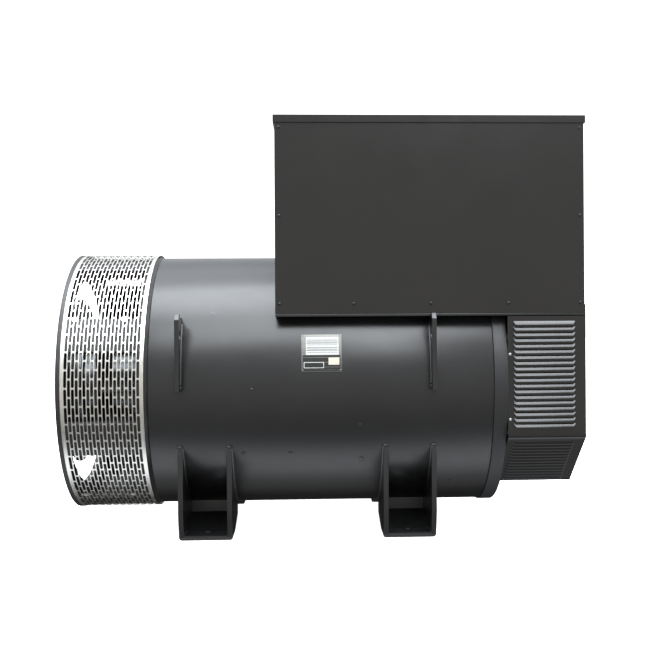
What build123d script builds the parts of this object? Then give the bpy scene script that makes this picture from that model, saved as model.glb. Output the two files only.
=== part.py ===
from build123d import *

import os
from math import asin, atan2, cos, degrees, hypot, pi, radians, sin, tan

# Single-bearing generator alternator head with a close-coupled engine flange.
#
# Origin: on the shaft axis, in the face of the engine flange.
# +X runs along the shaft from the drive end to the non-drive end, +Z is up.
# "left" is -Y and "right" is +Y, as seen by someone facing the non-drive end.
# All sizes are in millimetres.

os.makedirs("parts", exist_ok=True)

# ---------------------------------------------------------------- driving sizes

SHAFT_HEIGHT = 500.0          # foot face to shaft axis
SEAT_GAP = 0.2                # play between round faces that sit in each other
RUNNING_GAP = 0.05            # radial play of the bearing's inner ring

# Engine side: SAE 00 housing flange and SAE 18 flexible disc
FLANGE_R = 882.65 / 2         # the frame, the box and the cover follow this radius
FLANGE_T = 14.0
FLANGE_EDGE = 15.875          # bolt circle to the flange's rim
FLANGE_BOLTS = 16
FLANGE_HOLE_R = 6.75
SPIGOT_STEP = 47.625          # flange's rim to the spigot
SPIGOT_LENGTH = 6.0
DISC_R = 571.5 / 2
DISC_T = 6.0
DISC_EDGE = 14.29             # bolt circle to the disc's rim
DISC_BOLTS = 6
DISC_HOLE_R = 8.35
DISC_STAND_OFF = 15.7         # drive face of the disc, ahead of the flange face

# Drive-end adaptor and its screen
ADAPTOR_LENGTH = 285.0
ADAPTOR_WALL = 41.7           # spigot to the adaptor's bore
REAR_RING_T = 35.0
RIBS = 8
RIB_SETBACK = 1.25            # ribs stop this far short of the screen's bends
RIB_DEPTH = 20.0
SCREEN_INSET = 1.325          # flange's rim to the bends between the screen's flats
SCREEN_FLATS = 24
SCREEN_T = 1.5
SCREEN_REAR_MARGIN = 12.0     # bare rim of the adaptor behind the screen
SCREEN_SEAM = 2.0             # gap between the two half screens, top and bottom
SLOT_COLUMNS = 5
SLOT_BRIDGE = 36.5            # metal between two slots of a column
SLOT_WIDTH = 17.0
SLOT_STAGGER = 9.0            # slots of a column stand this far off the flats' middles
SCREEN_EDGE = 12.0            # plain band along both round edges

# Stator frame
FRAME_INSET = 11.325          # flange's rim to the barrel
FRAME_WALL = 16.0
FRAME_LENGTH = 1099.0
BAR_WIDTH = 34.0              # bars along the bore carry the core and take the bolts
BAR_HEIGHT = 34.0
BARS = 8

# Feet
FOOT_START = 87.0             # barrel's drive end to the first foot
FOOT_END = 181.0              # last foot to the barrel's non-drive end
FOOT_WIDTH = 172.0
FOOT_INSET = 47.0             # the foot's outer edge, inside the barrel's radius
FOOT_PLATE_T = 16.0
FOOT_BASE_DEPTH = 113.0       # flat part of the base, behind the foot's outer edge
FOOT_TOP_DEPTH = 268.0        # the foot's depth where its back plate meets the barrel
FOOT_RISE = 40.0              # the base climbs this far on its way to the back plate
FOOT_TAPER = 20.0             # the gusset leans back this far towards its toe
FOOT_TAPER_HEIGHT = 92.0
FOOT_TOE = 12.0
FOOT_HOLE_R = 16.5
FOOT_HOLE_SETBACK = 78.0      # hole to the foot's outer edge

# Lifting lugs
LUG_T = 14.0
LUG_START = 88.0              # barrel's drive end to the first lug
LUG_END = 187.5               # last lug to the barrel's non-drive end
LUG_REACH = 38.0              # how far a lug stands out of the box's side
LUG_DROP = 14.0               # lug's foot below the shaft axis
LUG_HORN = 10.0               # lug's top above the underside of the box
LUG_CHAMFER = 17.0
LUG_GAP = 1.0                 # the lug's notch to the box's base
LUG_HOLE_R = 15.0
LUG_HOLE_DROP = 65.0          # hole below the lug's top

# Non-drive-end bracket and bearing
BRACKET_LIP = 4.0             # the bracket stands out of the barrel by this much
BRACKET_T = 45.4
WINDOW_RIM = 35.0             # barrel's bars to the bracket's air windows
HOUSING_RIM = 18.0            # bearing housing to the air windows
ARMS = 8
ARM_WIDTH = 46.0
BEARING_BORE_R = 60.0
BEARING_SECTION = 70.0        # bearing's bore to its outer ring
BEARING_WIDTH = 55.0
HOUSING_WALL = 28.0           # round the bearing, at the middle of a flat
HOUSING_END_T = 12.0
END_CLEARANCE = 4.0           # shaft's end, and its shoulder, to what stands still

# Terminal box
BOX_START = 402.0             # barrel's drive end to the box
BOX_INSET = 10.0              # the box's side, inside the barrel's radius
BOX_SINK = 210.0              # underside of the box, below the barrel's top
BOX_BASE_T = 8.0
BOX_HEIGHT = 642.0            # to the top of the lid
BOX_SHEET = 3.0
LID_DEPTH = 25.0
LID_OVERHANG = 5.0

# Air-inlet cover
COVER_LENGTH = 249.9          # bracket to the end panel
COVER_RISE = 85.0             # bottom of the cover, above the barrel's
COVER_SLOPE_RISE = 172.4
COVER_SLOPE_INSET = 212.0
COVER_SHEET = 2.0
END_PANEL_T = 3.0
END_PANEL_LAP = 35.0          # how far the end panel laps up over the box
LOUVRE_START = 19.0           # plain sheet before and after the louvres
LOUVRE_END = 30.9
LOUVRE_PITCH = 18.27
LOUVRE_DEPTH = 7.0
LOUVRE_HEIGHT = 11.0
LOUVRE_MARGIN = 24.0          # an end louvre's middle to the bend beside it

# Active parts
CORE_START = 145.0            # barrel's drive end to the stator core
CORE_LENGTH = 570.0
CORE_BORE_R = 250.0
AIR_GAP = 1.5
OVERHANG = 118.0
OVERHANG_STEP = 12.0          # core's bore to the end windings
WINDING_SHARE = 9 / 13        # how much of the core's depth the slots and windings take
POLES = 4
POLE_WIDTH = 150.0
POLE_TIP_WIDTH = 320.0
POLE_TIP_T = 52.0
HUB_WALL = 30.0               # shaft to the flats of the rotor's hub
COIL_THICK = 38.0
STACK_FLATS = 24              # laminated stacks and windings are drawn with flat sides
EXCITER_LENGTH = 80.0
EXCITER_INSET = 24.0          # the bracket's windows to the exciter's bore
EXCITER_DEPTH = 63.0          # the exciter stator's bore to its outer flats
RECTIFIER_SIDES = 6
RECTIFIER_T = 24.0
RECTIFIER_STEP = 7.0          # the exciter's bore to the rectifier's corners

# Rotor line: each seat on the shaft is a step larger than the one behind it
EXCITER_SEAT_STEP = 20.0
CORE_SEAT_STEP = 25.0
COUPLING_STEP = 55.0
COUPLING_T = 26.0
HUB_BOLTS = 8
HUB_BOLT_EDGE = 28.0          # bolts of the hub to its rim
FAN_SETBACK = 181.0           # fan's back plate to the barrel
FAN_CLEARANCE = 14.0          # fan's corners to the adaptor's bore
FAN_PLATE_T = 8.0
FAN_BLADES = 12
BLADE_LENGTH = 118.0
BLADE_DEPTH = 103.0           # from the inlet to the rim
BLADE_T = 8.0
BLADE_LEAN = 25.0

# Hexagon screws: width across flats and head height
M16_FLATS = 24.0
M16_HEAD = 10.0

# Inside the terminal box
RAIL_SPACING = 360.0
RAIL_T = 8.0
RAIL_HALF_WIDTH = 150.0
BOARD_HEIGHT = 50.0           # underside of the board above the barrel's top
BOARD_T = 20.0
BOARD_END = 20.0              # the board runs past its rails by this much
TERMINAL_BARS = 6
TERMINAL_PITCH = 70.0
TERMINAL_SIZE = (30.0, 200.0, 12.0)
REGULATOR_SIZE = (62.0, 210.0, 150.0)

# Rating plate, bare
PLATE_START = 484.0
PLATE_LENGTH = 128.0
PLATE_LOW_Z = 45.0
PLATE_HIGH_Z = 163.0
PLATE_T = 1.0

# --------------------------------------------------------------- derived sizes

# Stations along the shaft
FRAME_X = ADAPTOR_LENGTH
FRAME_END = FRAME_X + FRAME_LENGTH
BRACKET_END = FRAME_END + BRACKET_T
BOX_X = FRAME_X + BOX_START
BOX_END = BRACKET_END + COVER_LENGTH
BOX_LENGTH = BOX_END - BOX_X
BOX_MIDDLE_X = (BOX_X + BOX_END) / 2
LOUVRE_LENGTH = COVER_LENGTH - LOUVRE_START - LOUVRE_END
CORE_X = FRAME_X + CORE_START
CORE_END = CORE_X + CORE_LENGTH
REAR_RING_X = ADAPTOR_LENGTH - REAR_RING_T
SCREEN_END = ADAPTOR_LENGTH - SCREEN_REAR_MARGIN
BEARING_END = FRAME_END + BEARING_WIDTH
HOUSING_DEPTH_X = BEARING_END + END_CLEARANCE    # floor of the bearing housing
EXCITER_END = FRAME_END - END_CLEARANCE
EXCITER_X = EXCITER_END - EXCITER_LENGTH
RECTIFIER_X = EXCITER_X - RECTIFIER_T
FAN_X = FRAME_X - FAN_SETBACK
DISC_X = -DISC_STAND_OFF
COUPLING_X = DISC_X + DISC_T

# Radii, from the flange inwards
SPIGOT_R = FLANGE_R - SPIGOT_STEP
ADAPTOR_BORE_R = SPIGOT_R - ADAPTOR_WALL
SCREEN_R = FLANGE_R - SCREEN_INSET
SCREEN_FLAT_R = SCREEN_R * cos(pi / SCREEN_FLATS) - SCREEN_T   # inner face of a flat
SCREEN_FLAT_WIDTH = 2 * SCREEN_FLAT_R * tan(pi / SCREEN_FLATS)
FAN_R = ADAPTOR_BORE_R - FAN_CLEARANCE
FAN_INLET_R = FAN_R - BLADE_DEPTH
FRAME_R = FLANGE_R - FRAME_INSET
WELD_R = FRAME_R + SEAT_GAP                      # inner edge of what stands on the barrel
BRACKET_R = FRAME_R + BRACKET_LIP
BAR_IN_R = FRAME_R - FRAME_WALL - BAR_HEIGHT
BAR_OUT_R = FRAME_R - FRAME_WALL / 2             # bars are let into the barrel's wall
BAR_ANGLE = 180 / BARS                           # bars, ribs and arms stand in line
FRAME_BOLT_R = FRAME_R - FRAME_WALL - BAR_HEIGHT / 2
OVERHANG_OUT_R = CORE_BORE_R + WINDING_SHARE * (BAR_IN_R - CORE_BORE_R)
OVERHANG_IN_R = CORE_BORE_R + OVERHANG_STEP
ROTOR_R = CORE_BORE_R - AIR_GAP

# Radii, from the shaft outwards
EXCITER_SEAT_R = BEARING_BORE_R + EXCITER_SEAT_STEP
CORE_SEAT_R = EXCITER_SEAT_R + CORE_SEAT_STEP
COUPLING_R = CORE_SEAT_R + COUPLING_STEP
HUB_BOLT_R = COUPLING_R - HUB_BOLT_EDGE
ROTOR_HUB_R = CORE_SEAT_R + HUB_WALL
BEARING_R = BEARING_BORE_R + BEARING_SECTION
HOUSING_R = BEARING_R + HOUSING_WALL
WINDOW_IN_R = HOUSING_R + HOUSING_RIM
WINDOW_OUT_R = BAR_IN_R - WINDOW_RIM
EXCITER_BORE_R = WINDOW_IN_R - EXCITER_INSET
EXCITER_OUT_R = EXCITER_BORE_R + EXCITER_DEPTH
RECTIFIER_R = EXCITER_BORE_R - RECTIFIER_STEP

# Box, cover, feet and lugs, across the machine
BOX_HALF_WIDTH = FRAME_R - BOX_INSET
BOX_BOTTOM = FRAME_R - BOX_SINK
BOX_WALL_BOTTOM = BOX_BOTTOM + BOX_BASE_T
LID_TOP = BOX_BOTTOM + BOX_HEIGHT
LID_UNDERSIDE = LID_TOP - BOX_SHEET
COVER_BOTTOM_Z = COVER_RISE - FRAME_R
COVER_CORNER_Z = COVER_BOTTOM_Z + COVER_SLOPE_RISE
COVER_BOTTOM_HALF = BOX_HALF_WIDTH - COVER_SLOPE_INSET
FOOT_FRONT = FRAME_R - FOOT_INSET
FOOT_BACK_TOP = FOOT_FRONT - FOOT_TOP_DEPTH
FOOT_HOLE_Y = FOOT_FRONT - FOOT_HOLE_SETBACK
LUG_FRONT = BOX_HALF_WIDTH + LUG_REACH
LUG_TOP = BOX_BOTTOM + LUG_HORN
LUG_HOLE_Z = LUG_TOP - LUG_HOLE_DROP


# ------------------------------------------------------------------ small tools

def ring(x_start, x_end, r_out, r_in=0.0, mode=Mode.ADD):
    """Add or cut a ring or disc about the shaft axis in the part being built."""
    with BuildSketch(Plane.YZ.offset(x_start)) as face:
        Circle(r_out)
        if r_in:
            Circle(r_in, mode=Mode.SUBTRACT)
    extrude(face.sketch, amount=x_end - x_start, mode=mode)


def flats(x_start, x_end, sides, r_out, r_in=0.0, mode=Mode.ADD):
    """Add or cut a ring with flat sides; both radii are to the middle of a flat."""
    with BuildSketch(Plane.YZ.offset(x_start)) as face:
        if r_out:
            RegularPolygon(r_out, sides, major_radius=False)
        if r_in:
            RegularPolygon(r_in, sides, major_radius=False, mode=Mode.SUBTRACT)
    extrude(face.sketch, amount=x_end - x_start, mode=mode)


def hexagon_heads(x, circle_r, count, first):
    """Add a circle of hexagon bolt heads that start at station x."""
    with BuildSketch(Plane.YZ.offset(x)) as heads:
        with PolarLocations(circle_r, count, start_angle=first):
            RegularPolygon(M16_FLATS / 2, 6, major_radius=False)
    extrude(heads.sketch, amount=M16_HEAD)


def save(part, name):
    """Label a finished sub-part and write it to its own file."""
    part.label = name
    export_step(part, f"parts/{name}.step")


# ------------------------------------------------------- drive-end adaptor

with BuildPart() as de_adaptor:
    ring(-SPIGOT_LENGTH, 0, SPIGOT_R)
    ring(0, FLANGE_T, FLANGE_R)
    # The rear ring and the ribs have the flats that the screen lies on
    flats(REAR_RING_X, ADAPTOR_LENGTH, SCREEN_FLATS, SCREEN_FLAT_R)
    with BuildSketch(Plane.YZ.offset(FLANGE_T)):
        with PolarLocations(SCREEN_FLAT_R - RIB_DEPTH / 2, RIBS, start_angle=180 / RIBS):
            Rectangle(RIB_DEPTH, SCREEN_FLAT_WIDTH - 2 * RIB_SETBACK)
    extrude(amount=REAR_RING_X - FLANGE_T)
    flats(-SPIGOT_LENGTH, ADAPTOR_LENGTH, SCREEN_FLATS, ADAPTOR_BORE_R, mode=Mode.SUBTRACT)
    with Locations(Plane.YZ.offset(FLANGE_T)):
        with PolarLocations(FLANGE_R - FLANGE_EDGE, FLANGE_BOLTS, start_angle=180 / FLANGE_BOLTS):
            Hole(FLANGE_HOLE_R, depth=FLANGE_T)
save(de_adaptor.part, "de_adaptor")

# Half screens: thin sheet bent into flats, with staggered slots that run round the
# machine. Only the left half is drawn; the right one is its mirror image.
flat_angle = 360 / SCREEN_FLATS
column_pitch = (SCREEN_END - FLANGE_T - 2 * SCREEN_EDGE) / SLOT_COLUMNS
slot_length = SCREEN_FLAT_WIDTH - SLOT_BRIDGE

with BuildPart() as de_screen_left:
    flats(FLANGE_T, SCREEN_END, SCREEN_FLATS, SCREEN_FLAT_R + SCREEN_T, SCREEN_FLAT_R)
    split(bisect_by=Plane.XZ.offset(SCREEN_SEAM / 2), keep=Keep.TOP)
    for column in range(SLOT_COLUMNS):
        column_x = FLANGE_T + SCREEN_EDGE + column_pitch * (column + 0.5)
        stagger = SLOT_STAGGER * (1 if column % 2 else -1)
        with Locations(Plane.YZ.offset(column_x)):
            with PolarLocations(
                SCREEN_FLAT_R,
                SCREEN_FLATS // 2,
                start_angle=90 + flat_angle / 2,
                angular_range=180,
            ):
                with Locations((0, stagger, 0)):
                    Box(4 * SCREEN_T, slot_length, SLOT_WIDTH, mode=Mode.SUBTRACT)
save(de_screen_left.part, "de_screen_left")

with BuildPart() as de_screen_right:
    mirror(de_screen_left.part, about=Plane.XZ)
save(de_screen_right.part, "de_screen_right")

with BuildPart() as adaptor_bolts:
    hexagon_heads(REAR_RING_X - M16_HEAD, FRAME_BOLT_R, BARS, BAR_ANGLE)
save(adaptor_bolts.part, "adaptor_bolts")

# ------------------------------------------------------------- stator frame

with BuildPart() as frame_barrel:
    ring(FRAME_X, FRAME_END, FRAME_R, FRAME_R - FRAME_WALL)
    with BuildSketch(Plane.YZ.offset(FRAME_X)):
        with PolarLocations((BAR_IN_R + BAR_OUT_R) / 2, BARS, start_angle=BAR_ANGLE):
            Rectangle(BAR_OUT_R - BAR_IN_R, BAR_WIDTH)
    extrude(amount=FRAME_LENGTH)
save(frame_barrel.part, "frame_barrel")

# Feet: two gussets, and a base that climbs to a short back plate, welded into one piece
foot_base_back = FOOT_FRONT - FOOT_BASE_DEPTH
foot_toe_y = FOOT_FRONT - FOOT_TAPER
back_inner_y = FOOT_BACK_TOP + FOOT_PLATE_T
back_top_z = -((WELD_R**2 - back_inner_y**2) ** 0.5) + FOOT_PLATE_T
base_top_z = -SHAFT_HEIGHT + FOOT_PLATE_T
base_slope = FOOT_RISE / (foot_base_back - FOOT_BACK_TOP)

for end, foot_x in (("de", FRAME_X + FOOT_START), ("nde", FRAME_END - FOOT_END - FOOT_WIDTH)):
    for side, s in (("left", -1), ("right", 1)):
        with BuildPart() as foot:
            # Gussets, with their upper edge cut to the barrel
            with BuildSketch(Plane.YZ.offset(foot_x)) as gusset:
                with BuildLine():
                    Polyline(
                        (s * FOOT_BACK_TOP, -SHAFT_HEIGHT + FOOT_RISE),
                        (s * foot_base_back, -SHAFT_HEIGHT),
                        (s * (foot_toe_y - FOOT_TOE), -SHAFT_HEIGHT),
                        (s * foot_toe_y, -SHAFT_HEIGHT + FOOT_TOE),
                        (s * FOOT_FRONT, -SHAFT_HEIGHT + FOOT_TAPER_HEIGHT),
                        (s * FOOT_FRONT, 0),
                        (s * FOOT_BACK_TOP, 0),
                        close=True,
                    )
                make_face()
                Circle(WELD_R, mode=Mode.SUBTRACT)
            extrude(gusset.sketch, amount=FOOT_PLATE_T)
            far_gusset = gusset.sketch.moved(Location((FOOT_WIDTH - FOOT_PLATE_T, 0, 0)))
            extrude(far_gusset, amount=FOOT_PLATE_T)
            # Base and back plate along the gussets' lower and rear edges
            with BuildSketch(Plane.YZ.offset(foot_x)) as plates:
                with BuildLine():
                    Polyline(
                        (s * FOOT_BACK_TOP, back_top_z),
                        (s * FOOT_BACK_TOP, -SHAFT_HEIGHT + FOOT_RISE),
                        (s * foot_base_back, -SHAFT_HEIGHT),
                        (s * (foot_toe_y - FOOT_TOE), -SHAFT_HEIGHT),
                        (s * foot_toe_y, -SHAFT_HEIGHT + FOOT_TOE),
                        (s * foot_toe_y, base_top_z),
                        (s * foot_base_back, base_top_z),
                        (s * back_inner_y, base_top_z + base_slope * (foot_base_back - back_inner_y)),
                        (s * back_inner_y, back_top_z),
                        close=True,
                    )
                make_face()
                Circle(WELD_R, mode=Mode.SUBTRACT)
            extrude(plates.sketch, amount=FOOT_WIDTH)
            with Locations((foot_x + FOOT_WIDTH / 2, s * FOOT_HOLE_Y, base_top_z)):
                Hole(FOOT_HOLE_R, depth=FOOT_PLATE_T)
        save(foot.part, f"foot_{end}_{side}")

# Lifting lugs: plates across the barrel, notched to clear the box's base
lug_notch_z = BOX_BOTTOM - LUG_GAP
lug_notch_y = BOX_HALF_WIDTH + LUG_GAP
lug_hole_y = (LUG_FRONT + (FRAME_R**2 - LUG_HOLE_Z**2) ** 0.5) / 2

for end, lug_x in (("de", FRAME_X + LUG_START), ("nde", FRAME_END - LUG_END - LUG_T)):
    for side, s in (("left", -1), ("right", 1)):
        with BuildPart() as lug:
            with BuildSketch(Plane.YZ.offset(lug_x)):
                with BuildLine():
                    Polyline(
                        (0, -LUG_DROP),
                        (s * LUG_FRONT, -LUG_DROP),
                        (s * LUG_FRONT, LUG_TOP - LUG_CHAMFER),
                        (s * (LUG_FRONT - LUG_CHAMFER), LUG_TOP),
                        (s * lug_notch_y, LUG_TOP),
                        (s * lug_notch_y, lug_notch_z),
                        (0, lug_notch_z),
                        close=True,
                    )
                make_face()
                Circle(WELD_R, mode=Mode.SUBTRACT)
                with Locations((s * lug_hole_y, LUG_HOLE_Z)):
                    Circle(LUG_HOLE_R, mode=Mode.SUBTRACT)
            extrude(amount=LUG_T)
        save(lug.part, f"lug_{end}_{side}")

# Bare rating plate, rolled to the left side of the barrel
plate_low = asin(PLATE_LOW_Z / WELD_R)
plate_high = asin(PLATE_HIGH_Z / WELD_R)
plate_middle = (plate_low + plate_high) / 2
with BuildPart() as rating_plate:
    with BuildSketch(Plane.YZ.offset(FRAME_X + PLATE_START)):
        with BuildLine():
            edges = [
                ThreePointArc(*((-r * cos(a), r * sin(a)) for a in (plate_low, plate_middle, plate_high)))
                for r in (WELD_R, WELD_R + PLATE_T)
            ]
            Line(edges[0] @ 0, edges[1] @ 0)
            Line(edges[0] @ 1, edges[1] @ 1)
        make_face()
    extrude(amount=PLATE_LENGTH)
save(rating_plate.part, "rating_plate")

# ------------------------------------------------------ non-drive-end bracket

with BuildPart() as nde_bracket:
    ring(FRAME_END, BRACKET_END, BRACKET_R)
    # Eight-sided bearing housing, closed at its outer end
    flats(FRAME_END, HOUSING_DEPTH_X + HOUSING_END_T, ARMS, HOUSING_R)
    # Air windows, with the arms left between them
    arm_slope = sin(pi / ARMS) / cos(pi / ARMS)
    arm_half = ARM_WIDTH / 2 / cos(pi / ARMS)
    with BuildSketch(Plane.YZ.offset(FRAME_END)):
        with PolarLocations(0, ARMS):
            Polygon(
                (WINDOW_IN_R, WINDOW_IN_R * arm_slope - arm_half),
                (WINDOW_IN_R, -WINDOW_IN_R * arm_slope + arm_half),
                (WINDOW_OUT_R, -WINDOW_OUT_R * arm_slope + arm_half),
                (WINDOW_OUT_R, WINDOW_OUT_R * arm_slope - arm_half),
                align=None,
            )
    extrude(amount=BRACKET_T, mode=Mode.SUBTRACT)
    ring(FRAME_END, HOUSING_DEPTH_X, BEARING_R + SEAT_GAP, mode=Mode.SUBTRACT)
save(nde_bracket.part, "nde_bracket")

with BuildPart() as bracket_bolts:
    hexagon_heads(BRACKET_END, FRAME_BOLT_R, BARS, BAR_ANGLE)
save(bracket_bolts.part, "bracket_bolts")

with BuildPart() as bearing:
    ring(FRAME_END, BEARING_END, BEARING_R, BEARING_BORE_R + RUNNING_GAP)
save(bearing.part, "bearing")

# ---------------------------------------------------------- air-inlet cover

cover_outline = (
    (-BOX_HALF_WIDTH, BOX_BOTTOM),
    (-BOX_HALF_WIDTH, COVER_CORNER_Z),
    (-COVER_BOTTOM_HALF, COVER_BOTTOM_Z),
    (COVER_BOTTOM_HALF, COVER_BOTTOM_Z),
    (BOX_HALF_WIDTH, COVER_CORNER_Z),
    (BOX_HALF_WIDTH, BOX_BOTTOM),
)
slope_y = BOX_HALF_WIDTH - COVER_BOTTOM_HALF
slope_z = COVER_CORNER_Z - COVER_BOTTOM_Z
slope_length = hypot(slope_y, slope_z)
slope_turn = degrees(atan2(slope_y, slope_z))
side_length = BOX_BOTTOM - COVER_CORNER_Z
side_louvres = int((side_length - 2 * LOUVRE_MARGIN) / LOUVRE_PITCH) + 1
slope_louvres = int((slope_length - 2 * LOUVRE_MARGIN) / LOUVRE_PITCH) + 1


def louvre_places(s):
    """Place of each louvre on one side: on the upright wall, then on the sloped one."""
    places = []
    for row in range(side_louvres):
        z = BOX_BOTTOM - LOUVRE_MARGIN - LOUVRE_PITCH * row
        places.append(Location((s * BOX_HALF_WIDTH, z, 0)))
    for row in range(slope_louvres):
        share = 0.5 + LOUVRE_PITCH * (row - (slope_louvres - 1) / 2) / slope_length
        y = s * (COVER_BOTTOM_HALF + slope_y * share)
        z = COVER_BOTTOM_Z + slope_z * share
        places.append(Location((y, z, 0), (0, 0, -s * slope_turn)))
    return places


def louvres(x, length, top, bottom, root, depth, mode):
    """Extrude one triangular section for every louvre, open downwards."""
    for s in (-1, 1):
        with BuildSketch(Plane.YZ.offset(x)) as hoods:
            with Locations(*louvre_places(s)):
                Polygon((-s * root, top), (s * depth, bottom), (-s * root, bottom), align=None)
        extrude(hoods.sketch, amount=length, mode=mode)


with BuildPart() as nde_cover:
    with BuildSketch(Plane.YZ.offset(BRACKET_END)):
        Polygon(*cover_outline, align=None)
        offset(amount=-COVER_SHEET, mode=Mode.SUBTRACT)
    extrude(amount=BOX_END - BRACKET_END)
    # Pressed hoods, then the air gap inside each, which opens under its lip
    half_height = LOUVRE_HEIGHT / 2
    louvre_x = BRACKET_END + LOUVRE_START
    louvres(louvre_x, LOUVRE_LENGTH, half_height, -half_height, 0, LOUVRE_DEPTH, Mode.ADD)
    louvres(
        louvre_x + COVER_SHEET,
        LOUVRE_LENGTH - 2 * COVER_SHEET,
        half_height - COVER_SHEET,
        -half_height - COVER_SHEET,
        2 * COVER_SHEET,
        LOUVRE_DEPTH - COVER_SHEET,
        Mode.SUBTRACT,
    )
save(nde_cover.part, "nde_cover")

with BuildPart() as nde_end_panel:
    with BuildSketch(Plane.YZ.offset(BOX_END)):
        Polygon(
            (-BOX_HALF_WIDTH, BOX_BOTTOM + END_PANEL_LAP),
            *cover_outline[1:5],
            (BOX_HALF_WIDTH, BOX_BOTTOM + END_PANEL_LAP),
            align=None,
        )
    extrude(amount=END_PANEL_T)
save(nde_end_panel.part, "nde_end_panel")

# ------------------------------------------------------------- terminal box

with BuildPart() as box_base:
    with BuildSketch(Plane.XY.offset(BOX_BOTTOM)):
        with Locations((BOX_MIDDLE_X, 0)):
            Rectangle(BOX_LENGTH, 2 * BOX_HALF_WIDTH)
    extrude(amount=BOX_BASE_T)
    ring(BOX_X, FRAME_END, WELD_R, mode=Mode.SUBTRACT)
    ring(FRAME_END, BRACKET_END, BRACKET_R + SEAT_GAP, mode=Mode.SUBTRACT)
save(box_base.part, "box_base")

box_wall_z = (BOX_WALL_BOTTOM + LID_UNDERSIDE) / 2
box_wall_height = LID_UNDERSIDE - BOX_WALL_BOTTOM

for side, s in (("left", -1), ("right", 1)):
    with BuildPart() as box_panel:
        with BuildSketch(Plane.XZ.offset(-s * BOX_HALF_WIDTH)) as panel_face:
            with Locations((BOX_MIDDLE_X, box_wall_z)):
                Rectangle(BOX_LENGTH, box_wall_height)
        extrude(panel_face.sketch, amount=s * BOX_SHEET)
    save(box_panel.part, f"box_panel_{side}")

for end, wall_x in (("de", BOX_X), ("nde", BOX_END - BOX_SHEET)):
    with BuildPart() as box_end:
        with BuildSketch(Plane.YZ.offset(wall_x)):
            with Locations((0, box_wall_z)):
                Rectangle(2 * (BOX_HALF_WIDTH - BOX_SHEET), box_wall_height)
            if end == "de":
                Circle(WELD_R, mode=Mode.SUBTRACT)
        extrude(amount=BOX_SHEET)
    save(box_end.part, f"box_end_{end}")

with BuildPart() as box_lid:
    with BuildSketch(Plane.XY.offset(LID_TOP - LID_DEPTH)):
        with Locations((BOX_MIDDLE_X, 0)):
            Rectangle(BOX_LENGTH + 2 * LID_OVERHANG, 2 * (BOX_HALF_WIDTH + LID_OVERHANG))
    extrude(amount=LID_DEPTH)
    offset(amount=-BOX_SHEET, openings=box_lid.faces().sort_by(Axis.Z)[0])
save(box_lid.part, "box_lid")

# Rails on the barrel's top carry the terminal board
board_x = (BOX_X + FRAME_END) / 2
board_z = FRAME_R + BOARD_HEIGHT
with BuildPart() as board_rails:
    for rail_x in (board_x - RAIL_SPACING / 2, board_x + RAIL_SPACING / 2):
        with BuildSketch(Plane.YZ.offset(rail_x - RAIL_T / 2)) as rail:
            with Locations((0, board_z / 2)):
                Rectangle(2 * RAIL_HALF_WIDTH, board_z)
            Circle(WELD_R, mode=Mode.SUBTRACT)
        extrude(rail.sketch, amount=RAIL_T)
save(board_rails.part, "board_rails")

with BuildPart() as terminal_board:
    with BuildSketch(Plane.XY.offset(board_z)):
        with Locations((board_x, 0)):
            Rectangle(RAIL_SPACING + RAIL_T + 2 * BOARD_END, 2 * RAIL_HALF_WIDTH)
    extrude(amount=BOARD_T)
save(terminal_board.part, "terminal_board")

with BuildPart() as terminal_bars:
    with Locations((board_x, 0, board_z + BOARD_T)):
        with GridLocations(TERMINAL_PITCH, 0, TERMINAL_BARS, 1):
            Box(*TERMINAL_SIZE, align=(Align.CENTER, Align.CENTER, Align.MIN))
save(terminal_bars.part, "terminal_bars")

with BuildPart() as voltage_regulator:
    with Locations((BOX_END - BOX_SHEET, 0, (BOX_BOTTOM + LID_TOP) / 2)):
        Box(*REGULATOR_SIZE, align=(Align.MAX, Align.CENTER, Align.CENTER))
save(voltage_regulator.part, "voltage_regulator")

# ------------------------------------------------------------- stator, active

with BuildPart() as stator_core:
    flats(CORE_X, CORE_END, STACK_FLATS, BAR_IN_R, CORE_BORE_R)
save(stator_core.part, "stator_core")

with BuildPart() as stator_winding:
    flats(CORE_X - OVERHANG, CORE_X, STACK_FLATS, OVERHANG_OUT_R, OVERHANG_IN_R)
    flats(CORE_END, CORE_END + OVERHANG, STACK_FLATS, OVERHANG_OUT_R, OVERHANG_IN_R)
save(stator_winding.part, "stator_winding")

with BuildPart() as exciter_stator:
    flats(FRAME_END - EXCITER_LENGTH, FRAME_END, STACK_FLATS, EXCITER_OUT_R, EXCITER_BORE_R)
save(exciter_stator.part, "exciter_stator")

# ---------------------------------------------------------------- rotor line

with BuildPart() as shaft:
    ring(COUPLING_X, COUPLING_X + COUPLING_T, COUPLING_R)
    ring(COUPLING_X + COUPLING_T, CORE_END, CORE_SEAT_R)
    ring(CORE_END, EXCITER_END, EXCITER_SEAT_R)
    ring(EXCITER_END, BEARING_END, BEARING_BORE_R)
save(shaft.part, "shaft")

with BuildPart() as coupling_disc:
    ring(DISC_X, COUPLING_X, DISC_R)
    with Locations(Plane.YZ.offset(COUPLING_X)):
        with PolarLocations(DISC_R - DISC_EDGE, DISC_BOLTS, start_angle=180 / DISC_BOLTS):
            Hole(DISC_HOLE_R, depth=DISC_T)
save(coupling_disc.part, "coupling_disc")

with BuildPart() as disc_bolts:
    hexagon_heads(DISC_X - M16_HEAD, HUB_BOLT_R, HUB_BOLTS, 0)
save(disc_bolts.part, "disc_bolts")

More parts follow.
